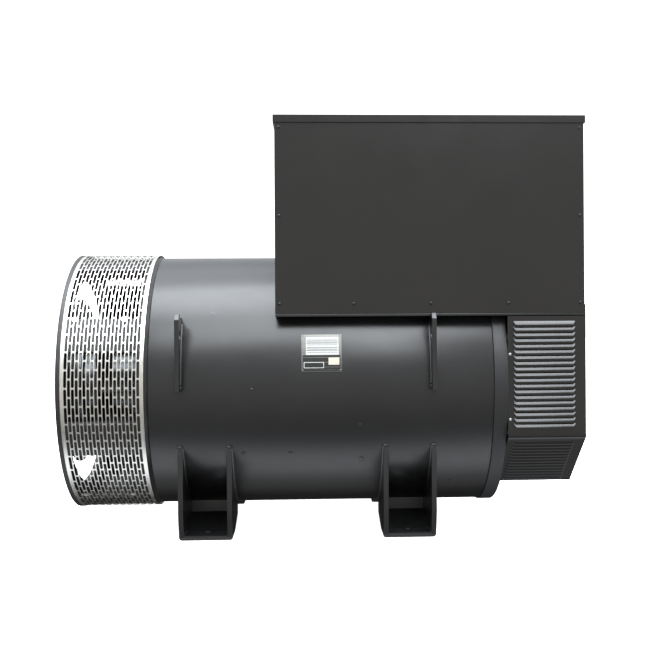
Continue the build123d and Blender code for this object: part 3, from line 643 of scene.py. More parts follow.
class PerforatedScreen(bpy.types.Operator):
    """Half screens of rolled stainless sheet with staggered slots, and their screws"""

    bl_idname = "alternator.perforated_screen"
    bl_label = "Perforated screen"

    edge = 0.0105                   # plain band along each round edge
    clearance = 0.0018              # from the flange's rim in to the sheet
    screw_angles = (29.5, -57.0)    # degrees above the plane of the shaft
    screw_places = (0.050, 0.206)   # along the shaft
    screw = (0.0052, 0.0012, 0.0095)    # radius, height and washer radius
    screw_sunk = 0.0012             # how far the washers lie in the sheet

    def execute(self, context):
        sizes = context.scene.alternator_sizes
        radius = FLANGE_R - self.clearance
        pitch_x = (SCREEN_END - SCREEN_START - 2 * self.edge) / sizes.slot_columns
        turn = 2 * pi / sizes.slots_round
        count = sizes.slots_round // 2
        for side, sign in SIDES:
            bm = bmesh.new()
            for column in range(sizes.slot_columns):
                x = SCREEN_START + self.edge + pitch_x * (column + 0.5)
                self.column(bm, sizes, x, pitch_x, turn, column % 2 == 1, radius)
            for x in (SCREEN_START, SCREEN_END - self.edge):
                self.strip(bm, x, (self.edge,), pi / 2, turn * count, 4 * count, radius)
            bmesh.ops.remove_doubles(bm, verts=bm.verts, dist=2e-5)
            bmesh.ops.rotate(
                bm, verts=bm.verts, cent=(0, 0, 0),
                matrix=Matrix.Rotation(pi if sign > 0 else 0.0, 3, "X"))
            thicken(bm, list(bm.faces), sizes.sheet)
            finish_piece(
                f"screen_sheet_{side}", bm, rolled_stainless(), STATOR,
                replaces=(f"de_screen_{side}",))
            self.screws(side, sign, radius)
        return {"FINISHED"}

    def column(self, bm, sizes, x, pitch_x, turn, staggered, radius):
        """A column of slots over half a turn, with plain ends where it is staggered."""
        half_x = pitch_x / 2
        half_s = turn * radius / 2
        half_width = sizes.slot_width / 2
        straight = half_s - sizes.slot_bridge / 2 - half_width
        ends = [(half_width * cos(a), straight + half_width * sin(a))
                for a in (pi / 4, pi / 2, 3 * pi / 4)]
        slot = [(half_width, 0), (half_width, straight), *ends,
                (-half_width, straight), (-half_width, 0)]
        rim = [(half_x, 0), (half_x, half_s / 2), (half_x, half_s), (0, half_s),
               (-half_x, half_s), (-half_x, half_s / 2), (-half_x, 0)]
        slot += [(a, -s) for a, s in reversed(slot[1:-1])]
        rim += [(a, -s) for a, s in reversed(rim[1:-1])]
        ring = bmesh.ops.create_circle(bm, cap_ends=False, radius=0.001, segments=len(slot))
        inner = ring["verts"]
        edges = list({e for v in inner for e in v.link_edges})
        outer = verts_of(bmesh.ops.extrude_edge_only(bm, edges=edges)["geom"])
        for verts, outline in ((inner, slot), (outer, rim)):
            for vert, (a, s) in zip(self.in_turn(verts), outline):
                vert.co = self.wrap(x + a, s, radius)
        cell = inner + outer
        faces = faces_of(cell)
        shift = 0.5 if staggered else 0.0
        count = sizes.slots_round // 2 - int(staggered)
        first = pi / 2 + turn * (0.5 + shift)
        bmesh.ops.rotate(bm, verts=cell, cent=(0, 0, 0), matrix=Matrix.Rotation(first, 3, "X"))
        bmesh.ops.spin(
            bm, geom=cell + list({e for f in faces for e in f.edges}) + faces, cent=(0, 0, 0),
            axis=(1, 0, 0), dvec=(0, 0, 0), angle=turn * (count - 1), steps=count - 1,
            use_duplicate=True)
        if staggered:
            for start in (pi / 2, 3 * pi / 2 - turn / 2):
                self.strip(bm, x - half_x, (half_x, half_x), start, turn / 2, 2, radius)

    def strip(self, bm, x, widths, start, angle, steps, radius):
        """Sweep a line along the shaft through an angle about it."""
        chain = [bm.verts.new(self.wrap(x, 0, radius))]
        for width in widths:
            x += width
            chain.append(bm.verts.new(self.wrap(x, 0, radius)))
        edges = [bm.edges.new(pair) for pair in zip(chain, chain[1:])]
        bmesh.ops.rotate(bm, verts=chain, cent=(0, 0, 0), matrix=Matrix.Rotation(start, 3, "X"))
        bmesh.ops.spin(
            bm, geom=chain + edges, cent=(0, 0, 0), axis=(1, 0, 0), dvec=(0, 0, 0),
            angle=angle, steps=steps)

    def in_turn(self, ring):
        """Order the vertices of a small circle by their angle."""
        return sorted(ring, key=lambda v: round(atan2(v.co.y, v.co.x) % (2 * pi), 4))

    def wrap(self, x, s, radius):
        """A point at arc length s from the plane of the shaft, on the screen's radius."""
        return Vector((x, radius * cos(s / radius), radius * sin(s / radius)))

    def screws(self, side, sign, radius):
        """Washer-headed screws that hold the half screen to the ribs."""
        bm = bmesh.new()
        for angle in self.screw_angles:
            out = Vector((0, sign * cos(radians(angle)), sin(radians(angle))))
            for x in self.screw_places:
                seat = Vector((x, 0, 0)) + out * (radius - self.screw_sunk)
                dome_screw(bm, seat, out, *self.screw)
        finish_piece(f"screen_screws_{side}", bm, zinc_plate(), STATOR)


class DriveEndAdaptor(bpy.types.Operator):
    """Painted adaptor casting behind the screen, with its round rear rim"""

    bl_idname = "alternator.drive_end_adaptor"
    bl_label = "Drive-end adaptor"

    rim_gap = 0.0055       # from the flange's rim in to the casting under the screen
    groove = 0.0035        # depth of the groove where the casting meets the barrel
    groove_width = 0.001   # along the shaft
    flange_face = 0.0002   # past the screen's start, so that the flange stays as it is

    def execute(self, context):
        bm = merged_copy("de_adaptor")
        bmesh.ops.bisect_plane(
            bm, geom=list(bm.verts) + list(bm.edges) + list(bm.faces), dist=1e-6,
            plane_co=(SCREEN_END - self.groove_width, 0, 0), plane_no=(1, 0, 0))
        for vert in bm.verts:
            under_screen = vert.co.x < SCREEN_END - self.groove_width / 2
            limit = FLANGE_R - self.rim_gap if under_screen else BARREL_R - self.groove
            out = hypot(vert.co.y, vert.co.z)
            if vert.co.x > SCREEN_START + self.flange_face and out > limit:
                vert.co.y *= limit / out
                vert.co.z *= limit / out
        ease(bm, 0.0012)
        finish_piece(
            "adaptor_casting", bm, painted_casting(), STATOR,
            replaces=("de_adaptor",))
        eased_node("adaptor_bolts", "adaptor_bolt_heads", 0.001, zinc_plate())
        return {"FINISHED"}


class StatorFrame(bpy.types.Operator):
    """Rolled and welded frame barrel, with the plugs in its side"""

    bl_idname = "alternator.stator_frame"
    bl_label = "Stator frame"

    # Each plug's place along the shaft, height above it, radius and height of its head
    plugs = (
        (0.4856, 0.2306, 0.010, 0.0012), (0.732, -0.2215, 0.011, 0.0014),
        (0.5817, -0.2163, 0.006, 0.004), (0.9611, -0.2418, 0.011, 0.0016),
        (1.263, -0.3282, 0.0055, 0.0035), (0.6116, -0.0091, 0.0045, 0.002),
        (0.9544, -0.1232, 0.0045, 0.002),
    )
    sunk = 0.0008          # how far a plug's rim lies inside the barrel

    def execute(self, context):
        eased_node("frame_barrel", "frame_shell", 0.0015, machinery_enamel())
        bm = bmesh.new()
        for x, z, radius, height in self.plugs:
            place, out = on_barrel(x, -1, z, -self.sunk)
            dome_screw(bm, place, out, radius, height)
        finish_piece("frame_plugs", bm, machinery_enamel(), STATOR)
        return {"FINISHED"}


class Feet(bpy.types.Operator):
    """Welded feet: eased plates, and the beads that join them to the barrel"""

    bl_idname = "alternator.feet"
    bl_label = "Feet"

    plate = 0.016          # thickness of the gussets and the base
    bend = 0.009           # radius of the bends between them
    proud = 0.0005         # how far the middle of a bead stands off its plate
    seam_steps = 72
    seam_start = 0.004     # from the gusset's back to the first ripple
    seam_end = 0.008       # radians from the gusset's front to the last one
    inner_stop = 0.018     # how far short of the back the beads between the gussets stop
    cap_lift = 0.0015      # of the bead across a gusset's top end
    cap_steps = 5
    corner_gap = 0.001     # from the plates to the middle of a corner's bead
    corner_start = 0.026   # from the foot's front to its first ripple
    corner_pitch = 0.0048
    corner_steps = 15

    def execute(self, context):
        width = context.scene.alternator_sizes.bead_width
        for corner, sign in CORNERS:
            name = f"foot_{corner}"
            low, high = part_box(name)
            self.plates(name, low, high)
            bm = bmesh.new()
            front = max(abs(low.y), abs(high.y))
            back = min(abs(low.y), abs(high.y))
            inner = self.plate + self.proud
            for x in (low.x - self.proud, high.x + self.proud):
                self.seam(bm, x, sign, front, back, width)
            for x in (low.x + inner, high.x - inner):
                self.seam(bm, x, sign, front, back + self.inner_stop, width * 0.8)
            top = self.cap_lift - sqrt(BARREL_R**2 - front**2)
            for x in (low.x, high.x - self.plate):
                self.cap(bm, x, sign * (front + self.proud), top, width)
            inner = self.plate + self.corner_gap
            for x in (low.x + inner, high.x - inner):
                self.corner(bm, x, sign, front, low.z + inner, width * 0.6)
            finish_piece(f"{name}_welds", bm, weld_metal(), STATOR)
        return {"FINISHED"}

    def plates(self, name, low, high):
        """The foot's plates, rounded widely where gussets and base are bent into each other."""
        bm = merged_copy(name)
        bends = [e for e in bm.edges
                 if all(abs(v.co.z - low.z) < 1e-4 for v in e.verts)
                 and any(all(abs(v.co.x - x) < 1e-4 for v in e.verts) for x in (low.x, high.x))]
        rounded(bm, bends, self.bend, 4)
        ease(bm, 0.0018)
        finish_piece(
            f"{name}_plates", bm, machinery_enamel(), STATOR, replaces=(name,))

    def seam(self, bm, x, sign, front, back, radius):
        """A bead up the joint between a gusset and the barrel."""
        start = acos((back + self.seam_start) / BARREL_R)
        end = acos(front / BARREL_R) - self.seam_end
        bead(bm, barrel_arc(x, sign, -start, -end, self.seam_steps), radius)

    def cap(self, bm, x, y, z, radius):
        """A bead across the top end of a gusset."""
        steps = self.cap_steps
        bead(bm, [(x + self.plate * i / steps, y, z) for i in range(steps + 1)], radius)

    def corner(self, bm, x, sign, front, z, radius):
        """A bead along the inner corner between a gusset and the base."""
        reaches = [front - self.corner_start - self.corner_pitch * i
                   for i in range(self.corner_steps + 1)]
        bead(bm, [(x, sign * reach, z) for reach in reaches], radius)


class LiftingLugs(bpy.types.Operator):
    """Lifting lugs: eased plates, and the beads that join them to the barrel"""

    bl_idname = "alternator.lifting_lugs"
    bl_label = "Lifting lugs"

    proud = 0.0008         # how far the middle of a bead stands off its plate
    seam = (-0.02, 0.48)   # angles between which the beads run, in radians
    seam_steps = 52

    def execute(self, context):
        width = context.scene.alternator_sizes.bead_width
        for corner, sign in CORNERS:
            name = f"lug_{corner}"
            low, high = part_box(name)
            eased_node(name, f"{name}_plate", 0.002, machinery_enamel())
            bm = bmesh.new()
            for x in (low.x - self.proud, high.x + self.proud):
                points = barrel_arc(x, sign, *self.seam, self.seam_steps)
                bead(bm, points, width * 0.9, ripple=0.13)
            finish_piece(f"{name}_welds", bm, weld_metal(), STATOR)
        return {"FINISHED"}


class TerminalBox(bpy.types.Operator):
    """Terminal box: folded panels and lid, eased base plate"""

    bl_idname = "alternator.terminal_box"
    bl_label = "Terminal box"

    def execute(self, context):
        paint = sheet_enamel()
        for node in ("box_panel_left", "box_panel_right", "box_end_de", "box_end_nde"):
            eased_node(node, f"{node}_sheet", 0.001, paint)
        eased_node("box_lid", "box_lid_sheet", 0.0022, paint, segments=3)
        eased_node("box_base", "box_base_plate", 0.0015, machinery_enamel())
        return {"FINISHED"}


class BoxScrews(bpy.types.Operator):
    """Screws of the terminal box's panels and lid"""

    bl_idname = "alternator.box_screws"
    bl_label = "Box screws"

    # Radius, height and washer radius
    panel_screw = (0.0048, 0.003, 0.0072)
    lid_screw = (0.0042, 0.001, 0.0062)
    edge_gaps = (0.0136, 0.0133)      # from the panel's upright edges in to their screws
    edge_heights = (0.822, 0.541, 0.261)
    foot_places = (0.936, 1.183, 1.433)   # along the shaft, by the panel's lower edge
    foot_height = 0.2605
    lid_places = (0.731, 1.034, 1.336, 1.6393)
    lid_height = 0.8495
    lid_sunk = 0.0022                 # how far its screws lie in the lid, within its reach

    def execute(self, context):
        face = abs(box_low.y) - SUNK
        lip = abs(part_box("box_lid")[0].y) - self.lid_sunk
        edges = (box_low.x + self.edge_gaps[0], box_high.x - self.edge_gaps[1])
        places = [(x, z) for x in edges for z in self.edge_heights]
        places += [(x, self.foot_height) for x in self.foot_places]
        for side, sign in SIDES:
            bm = bmesh.new()
            for x, z in places:
                dome_screw(bm, (x, sign * face, z), (0, sign, 0), *self.panel_screw)
            for x in self.lid_places:
                dome_screw(
                    bm, (x, sign * lip, self.lid_height), (0, sign, 0), *self.lid_screw)
            finish_piece(f"box_screws_{side}", bm, black_zinc(), STATOR)
        return {"FINISHED"}


class InletCover(bpy.types.Operator):
    """Folded air-inlet cover with pressed louvre hoods, and its end panel"""

    bl_idname = "alternator.inlet_cover"
    bl_label = "Air-inlet cover"

    sheet = 0.002
    bend_r = 0.006
    corner_z = -0.1726     # where the side bends in
    bottom_half = 0.208    # half the width of the bottom
    pitch = 0.01827        # from one louvre to the next
    height = 0.0112        # of a louvre's opening
    depth = 0.0072         # how far a hood stands out
    length = 0.200         # of a louvre along the shaft
    margin = 0.019         # from the cover's edge to the louvres
    top_louvre = 0.196     # height of the middle of the first one
    side_rows = 19
    slope_rows = 13
    near = 0.002           # between the middles of a face and of the louvre that it lies behind
    hood_sheet = 0.0012
    hood_end = 0.009       # length of a hood's rounded end
    end_drop = 0.12        # share of the opening that a hood covers at its very ends
    # How far a hood has risen at shares of its rounded end, and of its way down
    end_rise = ((0.0, 0.0), (0.12, 0.475), (0.35, 0.76), (0.68, 0.947), (1.0, 1.0))
    fall_rise = ((0.0, 0.0), (0.22, 0.32), (0.48, 0.62), (0.75, 0.85), (1.0, 1.0))

    def execute(self, context):
        paint = sheet_enamel()
        outline, gaps = self.section(cover_high.y - self.depth)
        bm = bmesh.new()
        self.walls(bm, outline, gaps)
        finish_piece(
            "inlet_cover_sheet", bm, paint, STATOR, replaces=("nde_cover",))
        bm = bmesh.new()
        for gap in gaps:
            self.hood(bm, *gap)
        thicken(bm, list(bm.faces), self.hood_sheet)
        finish_piece("inlet_louvres", bm, paint, STATOR, sharp=50.0)
        eased_node("nde_end_panel", "end_panel_sheet", 0.0012, paint)
        return {"FINISHED"}

    def section(self, half):
        """The cover's outline from one top edge to the other, and its louvres."""
        corner = Vector((0, -half, self.corner_z))
        toe = Vector((0, -self.bottom_half, cover_low.z))
        slope = (toe - corner).normalized()
        down = Vector((0, 0, -1))
        outline = [Vector((0, -half, cover_high.z))]
        top = Vector((0, -half, self.top_louvre + self.height / 2))
        gaps = self.louvres(outline, top, down, self.side_rows)
        outline += self.bend(corner, down, slope)
        spare = (toe - corner).length - self.pitch * (self.slope_rows - 1) - self.height
        gaps += self.louvres(outline, corner + slope * (spare / 2), slope, self.slope_rows)
        outline += self.bend(toe, slope, Vector((0, 1, 0)))
        outline += [mirrored(point) for point in reversed(outline)]
        gaps += [tuple(mirrored(part) for part in gap) for gap in gaps]
        return outline, gaps

    def louvres(self, outline, first, down, rows):
        """Add louvres to the outline, and list each one's top, its way down and its way out."""
        out = Vector((0, down.z, -down.y))
        starts = [first + down * (self.pitch * row) for row in range(rows)]
        for start in starts:
            outline += [start, start + down * self.height]
        return [(start, down, out) for start in starts]

    def bend(self, corner, before, after):
        """Three points that round a bend of the sheet."""
        start = corner - before * self.bend_r
        end = corner + after * self.bend_r
        middle = corner * 0.5 + (start + end) * 0.25
        return [start, middle, end]

    def walls(self, bm, outline, gaps):
        """Draw the section along the cover and leave out the faces behind the hoods."""
        first = cover_low.x + self.margin
        stations = [cover_low.x, first, first + self.length, cover_high.x]
        chain = [bm.verts.new(point + Vector((cover_low.x, 0, 0))) for point in outline]
        edges = [bm.edges.new(pair) for pair in zip(chain, chain[1:])]
        openings = []
        for start, end in zip(stations, stations[1:]):
            grown = bmesh.ops.extrude_edge_only(bm, edges=edges)["geom"]
            verts = set(verts_of(grown))
            bmesh.ops.translate(bm, verts=list(verts), vec=(end - start, 0, 0))
            edges = [g for g in grown
                     if isinstance(g, bmesh.types.BMEdge) and verts.issuperset(g.verts)]
            if start == first:
                openings = [g for g in grown if isinstance(g, bmesh.types.BMFace)
                            and self.behind_hood(g, gaps)]
        bmesh.ops.delete(bm, geom=openings, context="FACES")
        half = cover_high.y - self.depth
        top = block(
            bm, Vector((cover_low.x, -half, cover_high.z - self.sheet)),
            Vector((cover_high.x, half, cover_high.z)))
        lid = set(faces_of(top))
        thicken(bm, [f for f in bm.faces if f not in lid], self.sheet)

    def behind_hood(self, face, gaps):
        """Whether a face's middle lies where a louvre opens."""
        middle = face.calc_center_median()
        middle.x = 0
        return any(
            (top + down * (self.height / 2) - middle).length < self.near for top, down, _ in gaps)

    def hood(self, bm, top, down, out):
        """One pressed hood: rooted at its top, open at its lip, rounded at both ends."""
        start = cover_low.x + self.margin
        places = [(start + self.hood_end * share, rise) for share, rise in self.end_rise]
        places += [(start + self.length - self.hood_end * share, rise)
                   for share, rise in reversed(self.end_rise)]
        grid = bmesh.ops.create_grid(
            bm, x_segments=len(places) - 1, y_segments=len(self.fall_rise) - 1, size=1.0)["verts"]
        grid.sort(key=lambda v: (round(v.co.y, 4), round(v.co.x, 4)))
        cells = [(along, lift, x, rise) for along, lift in self.fall_rise for x, rise in places]
        for vert, (along, lift, x, rise) in zip(grid, cells):
            drop = self.end_drop + (1 - self.end_drop) * rise
            fall = down * (self.height * drop * along)
            vert.co = top + fall + out * (self.depth * rise * lift) + Vector((x, 0, 0))


class CoverScrews(bpy.types.Operator):
    """Screws that hold the air-inlet cover and its end panel"""

    bl_idname = "alternator.cover_screws"
    bl_label = "Cover screws"

    # Radius, height and washer radius
    side_screw = (0.0032, 0.003, 0.0045)
    end_screw = (0.0042, 0.0012, 0.0058)
    side_place = 1.4366
    side_heights = (0.096, -0.113)
    end_heights = (0.242, 0.083, -0.088)
    end_inset = 0.010      # from the cover's side in to the end panel's screws
    end_sunk = 0.0014      # how far their washers lie in the end panel

    def execute(self, context):
        half = cover_high.y - InletCover.depth - SUNK
        end_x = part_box("nde_end_panel")[1].x - self.end_sunk
        bm = bmesh.new()
        for _, sign in SIDES:
            for z in self.side_heights:
                dome_screw(
                    bm, (self.side_place, sign * half, z), (0, sign, 0), *self.side_screw)
        finish_piece("cover_side_screws", bm, zinc_plate(), STATOR)
        bm = bmesh.new()
        for _, sign in SIDES:
            for z in self.end_heights:
                dome_screw(
                    bm, (end_x, sign * (half - self.end_inset), z), (1, 0, 0), *self.end_screw)
        finish_piece("cover_end_screws", bm, black_zinc(), STATOR)
        return {"FINISHED"}


class NonDriveEndBracket(bpy.types.Operator):
    """Cast bracket that carries the bearing, with its bolts"""

    bl_idname = "alternator.bracket"
    bl_label = "Non-drive-end bracket"

    def execute(self, context):
        eased_node(
            "nde_bracket", "bracket_casting", 0.0025, painted_casting(), segments=3)
        eased_node("bracket_bolts", "bracket_bolt_heads", 0.001, zinc_plate())
        eased_node("bearing", "bearing_rings", 0.002, ground_steel())
        return {"FINISHED"}


class RatingPlate(bpy.types.Operator):
    """Rolled rating plate with bare printed fields, a blank label and four rivets"""

    bl_idname = "alternator.rating_plate"
    bl_label = "Rating plate"

    # Shares of the plate's width and height, and how far each print stands off the plate
    prints = (
        ("dark_field", black_ink, (0.030, 0.970), (0.025, 0.445), 0.0004),
        ("white_field", white_ink, (0.112, 0.925), (0.460, 0.929), 0.0004),
        ("blank_label", paper_label, (0.672, 0.940), (0.190, 0.381), 0.0007),
        ("outlined_field", white_ink, (0.060, 0.557), (0.103, 0.262), 0.0006),
        ("outlined_field_inside", black_ink, (0.074, 0.543), (0.119, 0.246), 0.0008),
    )
    rules = 6
    first_rule = 0.520         # shares of the plate's height
    rule_pitch = 0.064
    rule_height = 0.017
    rule_ends = (0.140, 0.895)
    rule_lift = 0.0006
    sheet = 0.0008             # thickness of the plate
    print_thickness = 0.0004
    rivet = (0.0024, 0.0014)   # radius and height
    rivet_inset = 0.005
    rivet_lift = 0.0010

    def execute(self, context):
        eased_node(
            "rating_plate", "rating_plate_sheet", 0.0003, brushed_aluminium())
        for name, ink, across, up, lift in self.prints:
            bm = bmesh.new()
            self.field(bm, across, up, lift)
            finish_piece(f"rating_plate_{name}", bm, ink(), STATOR)
        bm = bmesh.new()
        for row in range(self.rules):
            up = self.first_rule + self.rule_pitch * row
            self.field(bm, self.rule_ends, (up, up + self.rule_height), self.rule_lift)
        finish_piece("rating_plate_ruling", bm, grey_ink(), STATOR)
        bm = bmesh.new()
        for x in (plate_low.x + self.rivet_inset, plate_high.x - self.rivet_inset):
            for z in (plate_low.z + self.rivet_inset, plate_high.z - self.rivet_inset):
                place, out = on_barrel(x, -1, z, self.rivet_lift)
                dome_screw(bm, place, out, *self.rivet)
        finish_piece("rating_plate_rivets", bm, brushed_aluminium(), STATOR)
        return {"FINISHED"}

    def field(self, bm, across, up, lift):
        """A thin print over a share of the plate's width and height, rolled like the plate."""
        size = plate_high - plate_low
        radius = BARREL_R + self.sheet + lift
        first, last = (asin((plate_low.z + size.z * share) / radius) for share in up)
        before = set(bm.verts)
        chain = [bm.verts.new(
            (plate_low.x + size.x * share, -radius * cos(first), radius * sin(first)))
            for share in across]
        bmesh.ops.spin(
            bm, geom=chain + [bm.edges.new(chain)], cent=(0, 0, 0), axis=(1, 0, 0),
            dvec=(0, 0, 0), angle=first - last, steps=10)
        thicken(bm, faces_of(added(bm, before)), self.print_thickness)


def dress(body, rows):
    """Stand in for CAD nodes, from rows of node, new name, edge rounding, finish and slot."""
    for node, name, width, finish, slot in rows:
        eased_node(node, name, width, finish(), body=body)


class RotorLine(bpy.types.Operator):
    """Turning parts: shaft, coupling disc, fan, rotor, exciter rotor and rectifier"""

    bl_idname = "alternator.rotor_line"
    bl_label = "Rotor line"

    def execute(self, context):
        dress(ROTOR, (
            ("shaft", "shaft_turned", 0.0015, turned_steel, "machined_steel"),
            ("coupling_disc", "coupling_disc_sheet", 0.0008, turned_steel, "machined_steel"),
            ("disc_bolts", "disc_bolt_heads", 0.001, zinc_plate, "bolt_zinc"),
            ("fan", "fan_wheel", 0.002, cast_aluminium, "fan_metal"),
            ("rotor_core", "rotor_stack", 0.0015, electrical_steel, "lamination"),
            ("field_coils", "field_windings", 0.008, varnished_copper, "winding"),
            ("exciter_rotor", "exciter_rotor_stack", 0.002, electrical_steel, "lamination"),
            ("rectifier", "rectifier_plate", 0.002, potting_resin, "electronics"),
        ))
        return {"FINISHED"}


class StatorInside(bpy.types.Operator):
    """Still parts inside: core, windings, exciter, terminal board and regulator"""

    bl_idname = "alternator.stator_inside"
    bl_label = "Stator inside"

    def execute(self, context):
        dress(STATOR, (
            ("stator_core", "stator_stack", 0.0015, electrical_steel, "lamination"),
            ("stator_winding", "stator_end_windings", 0.012, varnished_copper, "winding"),
            ("exciter_stator", "exciter_stator_stack", 0.003, electrical_steel, "lamination"),
            ("board_rails", "board_rail_plates", 0.0012, machinery_enamel, "frame_paint"),
            ("terminal_board", "terminal_board_sheet", 0.0015, glass_fibre_board, "board"),
            ("terminal_bars", "terminal_bar_set", 0.0012, tinned_copper, "terminal_copper"),
            ("voltage_regulator", "regulator_block", 0.003, potting_resin, "electronics"),
        ))
        return {"FINISHED"}


class Studio(bpy.types.Operator):
    """Pale floor and backdrop, three softboxes, the room round them and the camera"""

    bl_idname = "alternator.studio"
    bl_label = "Studio"

    middle = Vector((0.85, 0.0, 0.10))      # where the softboxes aim
    light_colour = (0.92, 0.965, 1.0)
    paper_size = 90.0
    paper_gap = 0.0005                      # between the feet and the floor
    backdrop_distance = 25.0
    eye = (0.79192, -3.62165, 0.22839)
    yaw = -0.045027
    roll = 0.0063835
    sensor_width = 36.0
    shift = (-0.0442, -0.0172)
    lit_floor = (0.0, -0.19, -0.982)        # way to the lit floor in front of the machine
    shaded_floor = (0.0, 0.866, -0.5)       # way to the floor in the shade behind it
    shade_edge = (0.80, 0.93)               # how squarely a way points there as the shade sets in
    shade_light = 0.02                      # share of the room's light that is left in it
    # Where a way points, from 0 to the lit floor to 1 straight away from it, by its cosine, how
    # bright the room is there, and its tint
    room = ((0.0, 1.0, "cool"), (0.005, 0.95, "cool"), (0.013, 0.72, "cool"),
            (0.0245, 0.38, "cool"), (0.04, 0.2, "cool"), (0.06, 0.15, "warm"),
            (0.09, 0.15, "warm"), (0.2, 0.28, "warm"), (0.3, 0.38, "warm"),
            (0.4, 0.43, "warm"), (0.9, 0.55, "cool"), (0.95, 1.3, "cool"),
            (1.0, 1.6, "cool"))
    tints = {"warm": (1.0, 0.985, 0.955), "cool": (0.90, 0.95, 1.0)}

    def execute(self, context):
        scene = context.scene
        settings = scene.alternator_studio
        scene.view_settings.view_transform = "Standard"
        self.sheet("studio_floor", 0.0, 0.0)
        self.sheet("studio_backdrop", -self.backdrop_distance, pi / 2)
        self.surroundings(scene, settings.fill)
        self.softbox("ceiling_light", (0.0, -0.95, 4.4), (6.5, 2.9), settings.key)
        self.softbox("front_light", (0.0, -3.5, 3.9), (7.0, 2.2), settings.front, roll=0.17)
        self.softbox("side_light", (1.2, -4.36, 2.83), (1.5, 1.63), settings.side)

        camera = bpy.data.objects.new("camera", bpy.data.cameras.new("camera"))
        camera.data.lens = settings.lens
        camera.data.sensor_width = self.sensor_width
        camera.data.shift_x, camera.data.shift_y = self.shift
        yaw = Matrix.Rotation(self.yaw, 4, "Z")
        roll = Matrix.Rotation(self.roll, 4, "Y")
        level = Matrix.Rotation(pi / 2, 4, "X")
        camera.matrix_world = Matrix.Translation(self.eye) @ yaw @ roll @ level
        scene.collection.objects.link(camera)
        scene.camera = camera
        return {"FINISHED"}

    def sheet(self, name, away, tilt):
        """Pale paper, lying or hung far behind, that the machine's gloss doesn't pick up."""
        bm = bmesh.new()
        bmesh.ops.create_grid(bm, x_segments=1, y_segments=1, size=self.paper_size)
        bmesh.ops.translate(bm, verts=bm.verts, vec=(0, 0, away))
        bmesh.ops.rotate(bm, verts=bm.verts, cent=(0, 0, 0), matrix=Matrix.Rotation(tilt, 3, "X"))
        bmesh.ops.translate(bm, verts=bm.verts, vec=(0, 0, FLOOR_Z - self.paper_gap))
        mesh = bpy.data.meshes.new(name)
        bm.to_mesh(mesh)
        bm.free()
        mesh.materials.append(studio_paper())
        paper = bpy.data.objects.new(name, mesh)
        paper.visible_glossy = False
        paper.visible_diffuse = False
        paper.visible_shadow = False
        bpy.context.scene.collection.objects.link(paper)

    def surroundings(self, scene, strength):
        """A room that is dim round the machine, and paler overhead and underfoot."""
        world = bpy.data.worlds.new("studio_room")
        world.use_nodes = True
        tree = world.node_tree
        sky = next(n for n in tree.nodes if n.type == "BACKGROUND")
        way = add(tree, "ShaderNodeTexCoord").outputs["Generated"]
        # The room is drawn in bands along the machine: only the way across it counts
        across = add(
            tree, "ShaderNodeVectorMath", {"operation": "MULTIPLY", 1: ACROSS}, {0: way})
        across = add(
            tree, "ShaderNodeVectorMath", {"operation": "NORMALIZE"},
            {0: across.outputs["Vector"]}).outputs["Vector"]
        # 1 towards the lit floor in front of the machine, -1 straight away from it
        facing = add(
            tree, "ShaderNodeVectorMath", {"operation": "DOT_PRODUCT", 1: self.lit_floor},
            {0: across}).outputs["Value"]
        share = add(
            tree, "ShaderNodeMapRange", {"From Min": 1.0, "From Max": -1.0}, {"Value": facing})
        stops = [(place, [level * part for part in self.tints[kind]] + [1.0])
                 for place, level, kind in self.room]
        tree.links.new(shades(tree, share.outputs["Result"], stops), sky.inputs["Color"])
        # Behind the machine the floor lies in its shade, so the underside fades out
        behind = add(
            tree, "ShaderNodeVectorMath", {"operation": "DOT_PRODUCT", 1: self.shaded_floor},
            {0: across}).outputs["Value"]
        dimmed = add(
            tree, "ShaderNodeMapRange",
            {"From Min": self.shade_edge[0], "From Max": self.shade_edge[1],
             "To Min": strength, "To Max": strength * self.shade_light},
            {"Value": behind})
        tree.links.new(dimmed.outputs["Result"], sky.inputs["Strength"])
        scene.world = world

    def softbox(self, name, offset, size, power, roll=0.0):
        """A wide light that stands off the machine's middle, level along it, and faces it."""
        light = bpy.data.lights.new(name, "AREA")
        light.shape = "RECTANGLE"
        light.size, light.size_y = size
        light.energy = power
        light.color = self.light_colour
        lamp = bpy.data.objects.new(name, light)
        tip = atan2(offset[1], offset[2])
        aim = Matrix.Rotation(-tip, 4, "X") @ Matrix.Rotation(roll, 4, "Z")
        lamp.matrix_world = Matrix.Translation(self.middle + Vector(offset)) @ aim
        bpy.context.scene.collection.objects.link(lamp)


OPERATORS = (
    Studio, DriveEndAdaptor, PerforatedScreen, StatorFrame, Feet, LiftingLugs, TerminalBox,
    BoxScrews, InletCover, CoverScrews, NonDriveEndBracket, RatingPlate, RotorLine, StatorInside,
)


class AlternatorPanel(bpy.types.Panel):
    """Lists the pieces, and the sizes and finishes that they are made from"""

    bl_idname = "VIEW3D_PT_alternator"
    bl_label = "Alternator head"
    bl_space_type = "VIEW_3D"
    bl_region_type = "UI"
    bl_category = "Alternator"

    def draw(self, context):
        layout = self.layout
        for operator in OPERATORS:
            layout.operator(operator.bl_idname)
        for settings in (
            context.scene.alternator_sizes, context.scene.alternator_finishes,
            context.scene.alternator_studio,
        ):
            box = layout.box()
            for name in settings.__annotations__:
                box.prop(settings, name)


CLASSES = (AlternatorSizes, AlternatorFinishes, AlternatorStudio, *OPERATORS, AlternatorPanel)


def register():
    for cls in CLASSES:
        bpy.utils.register_class(cls)
    bpy.types.Scene.alternator_sizes = PointerProperty(type=AlternatorSizes)
    bpy.types.Scene.alternator_finishes = PointerProperty(type=AlternatorFinishes)
    bpy.types.Scene.alternator_studio = PointerProperty(type=AlternatorStudio)


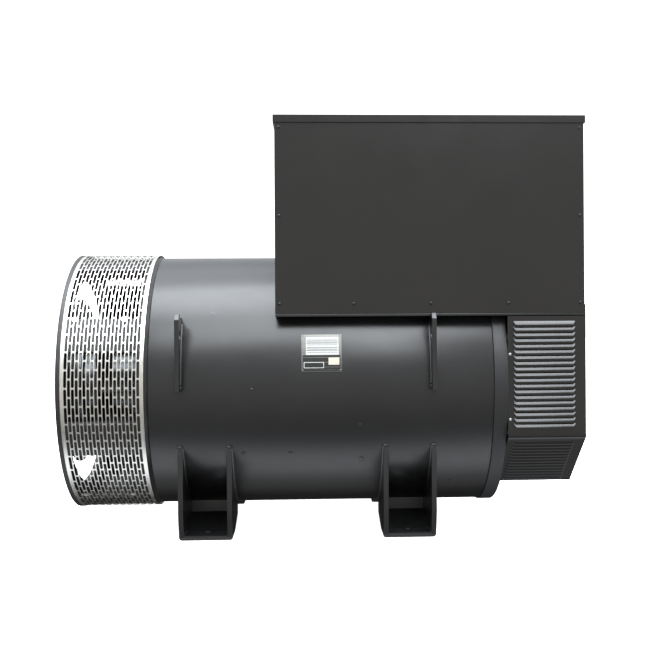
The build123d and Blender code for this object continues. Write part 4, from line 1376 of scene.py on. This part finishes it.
def unregister():
    del bpy.types.Scene.alternator_studio
    del bpy.types.Scene.alternator_finishes
    del bpy.types.Scene.alternator_sizes
    for cls in reversed(CLASSES):
        bpy.utils.unregister_class(cls)


def main():
    """Build every piece in order."""
    register()
    for operator in OPERATORS:
        group, name = operator.bl_idname.split(".")
        getattr(getattr(bpy.ops, group), name)()


if __name__ == "__main__":
    main()
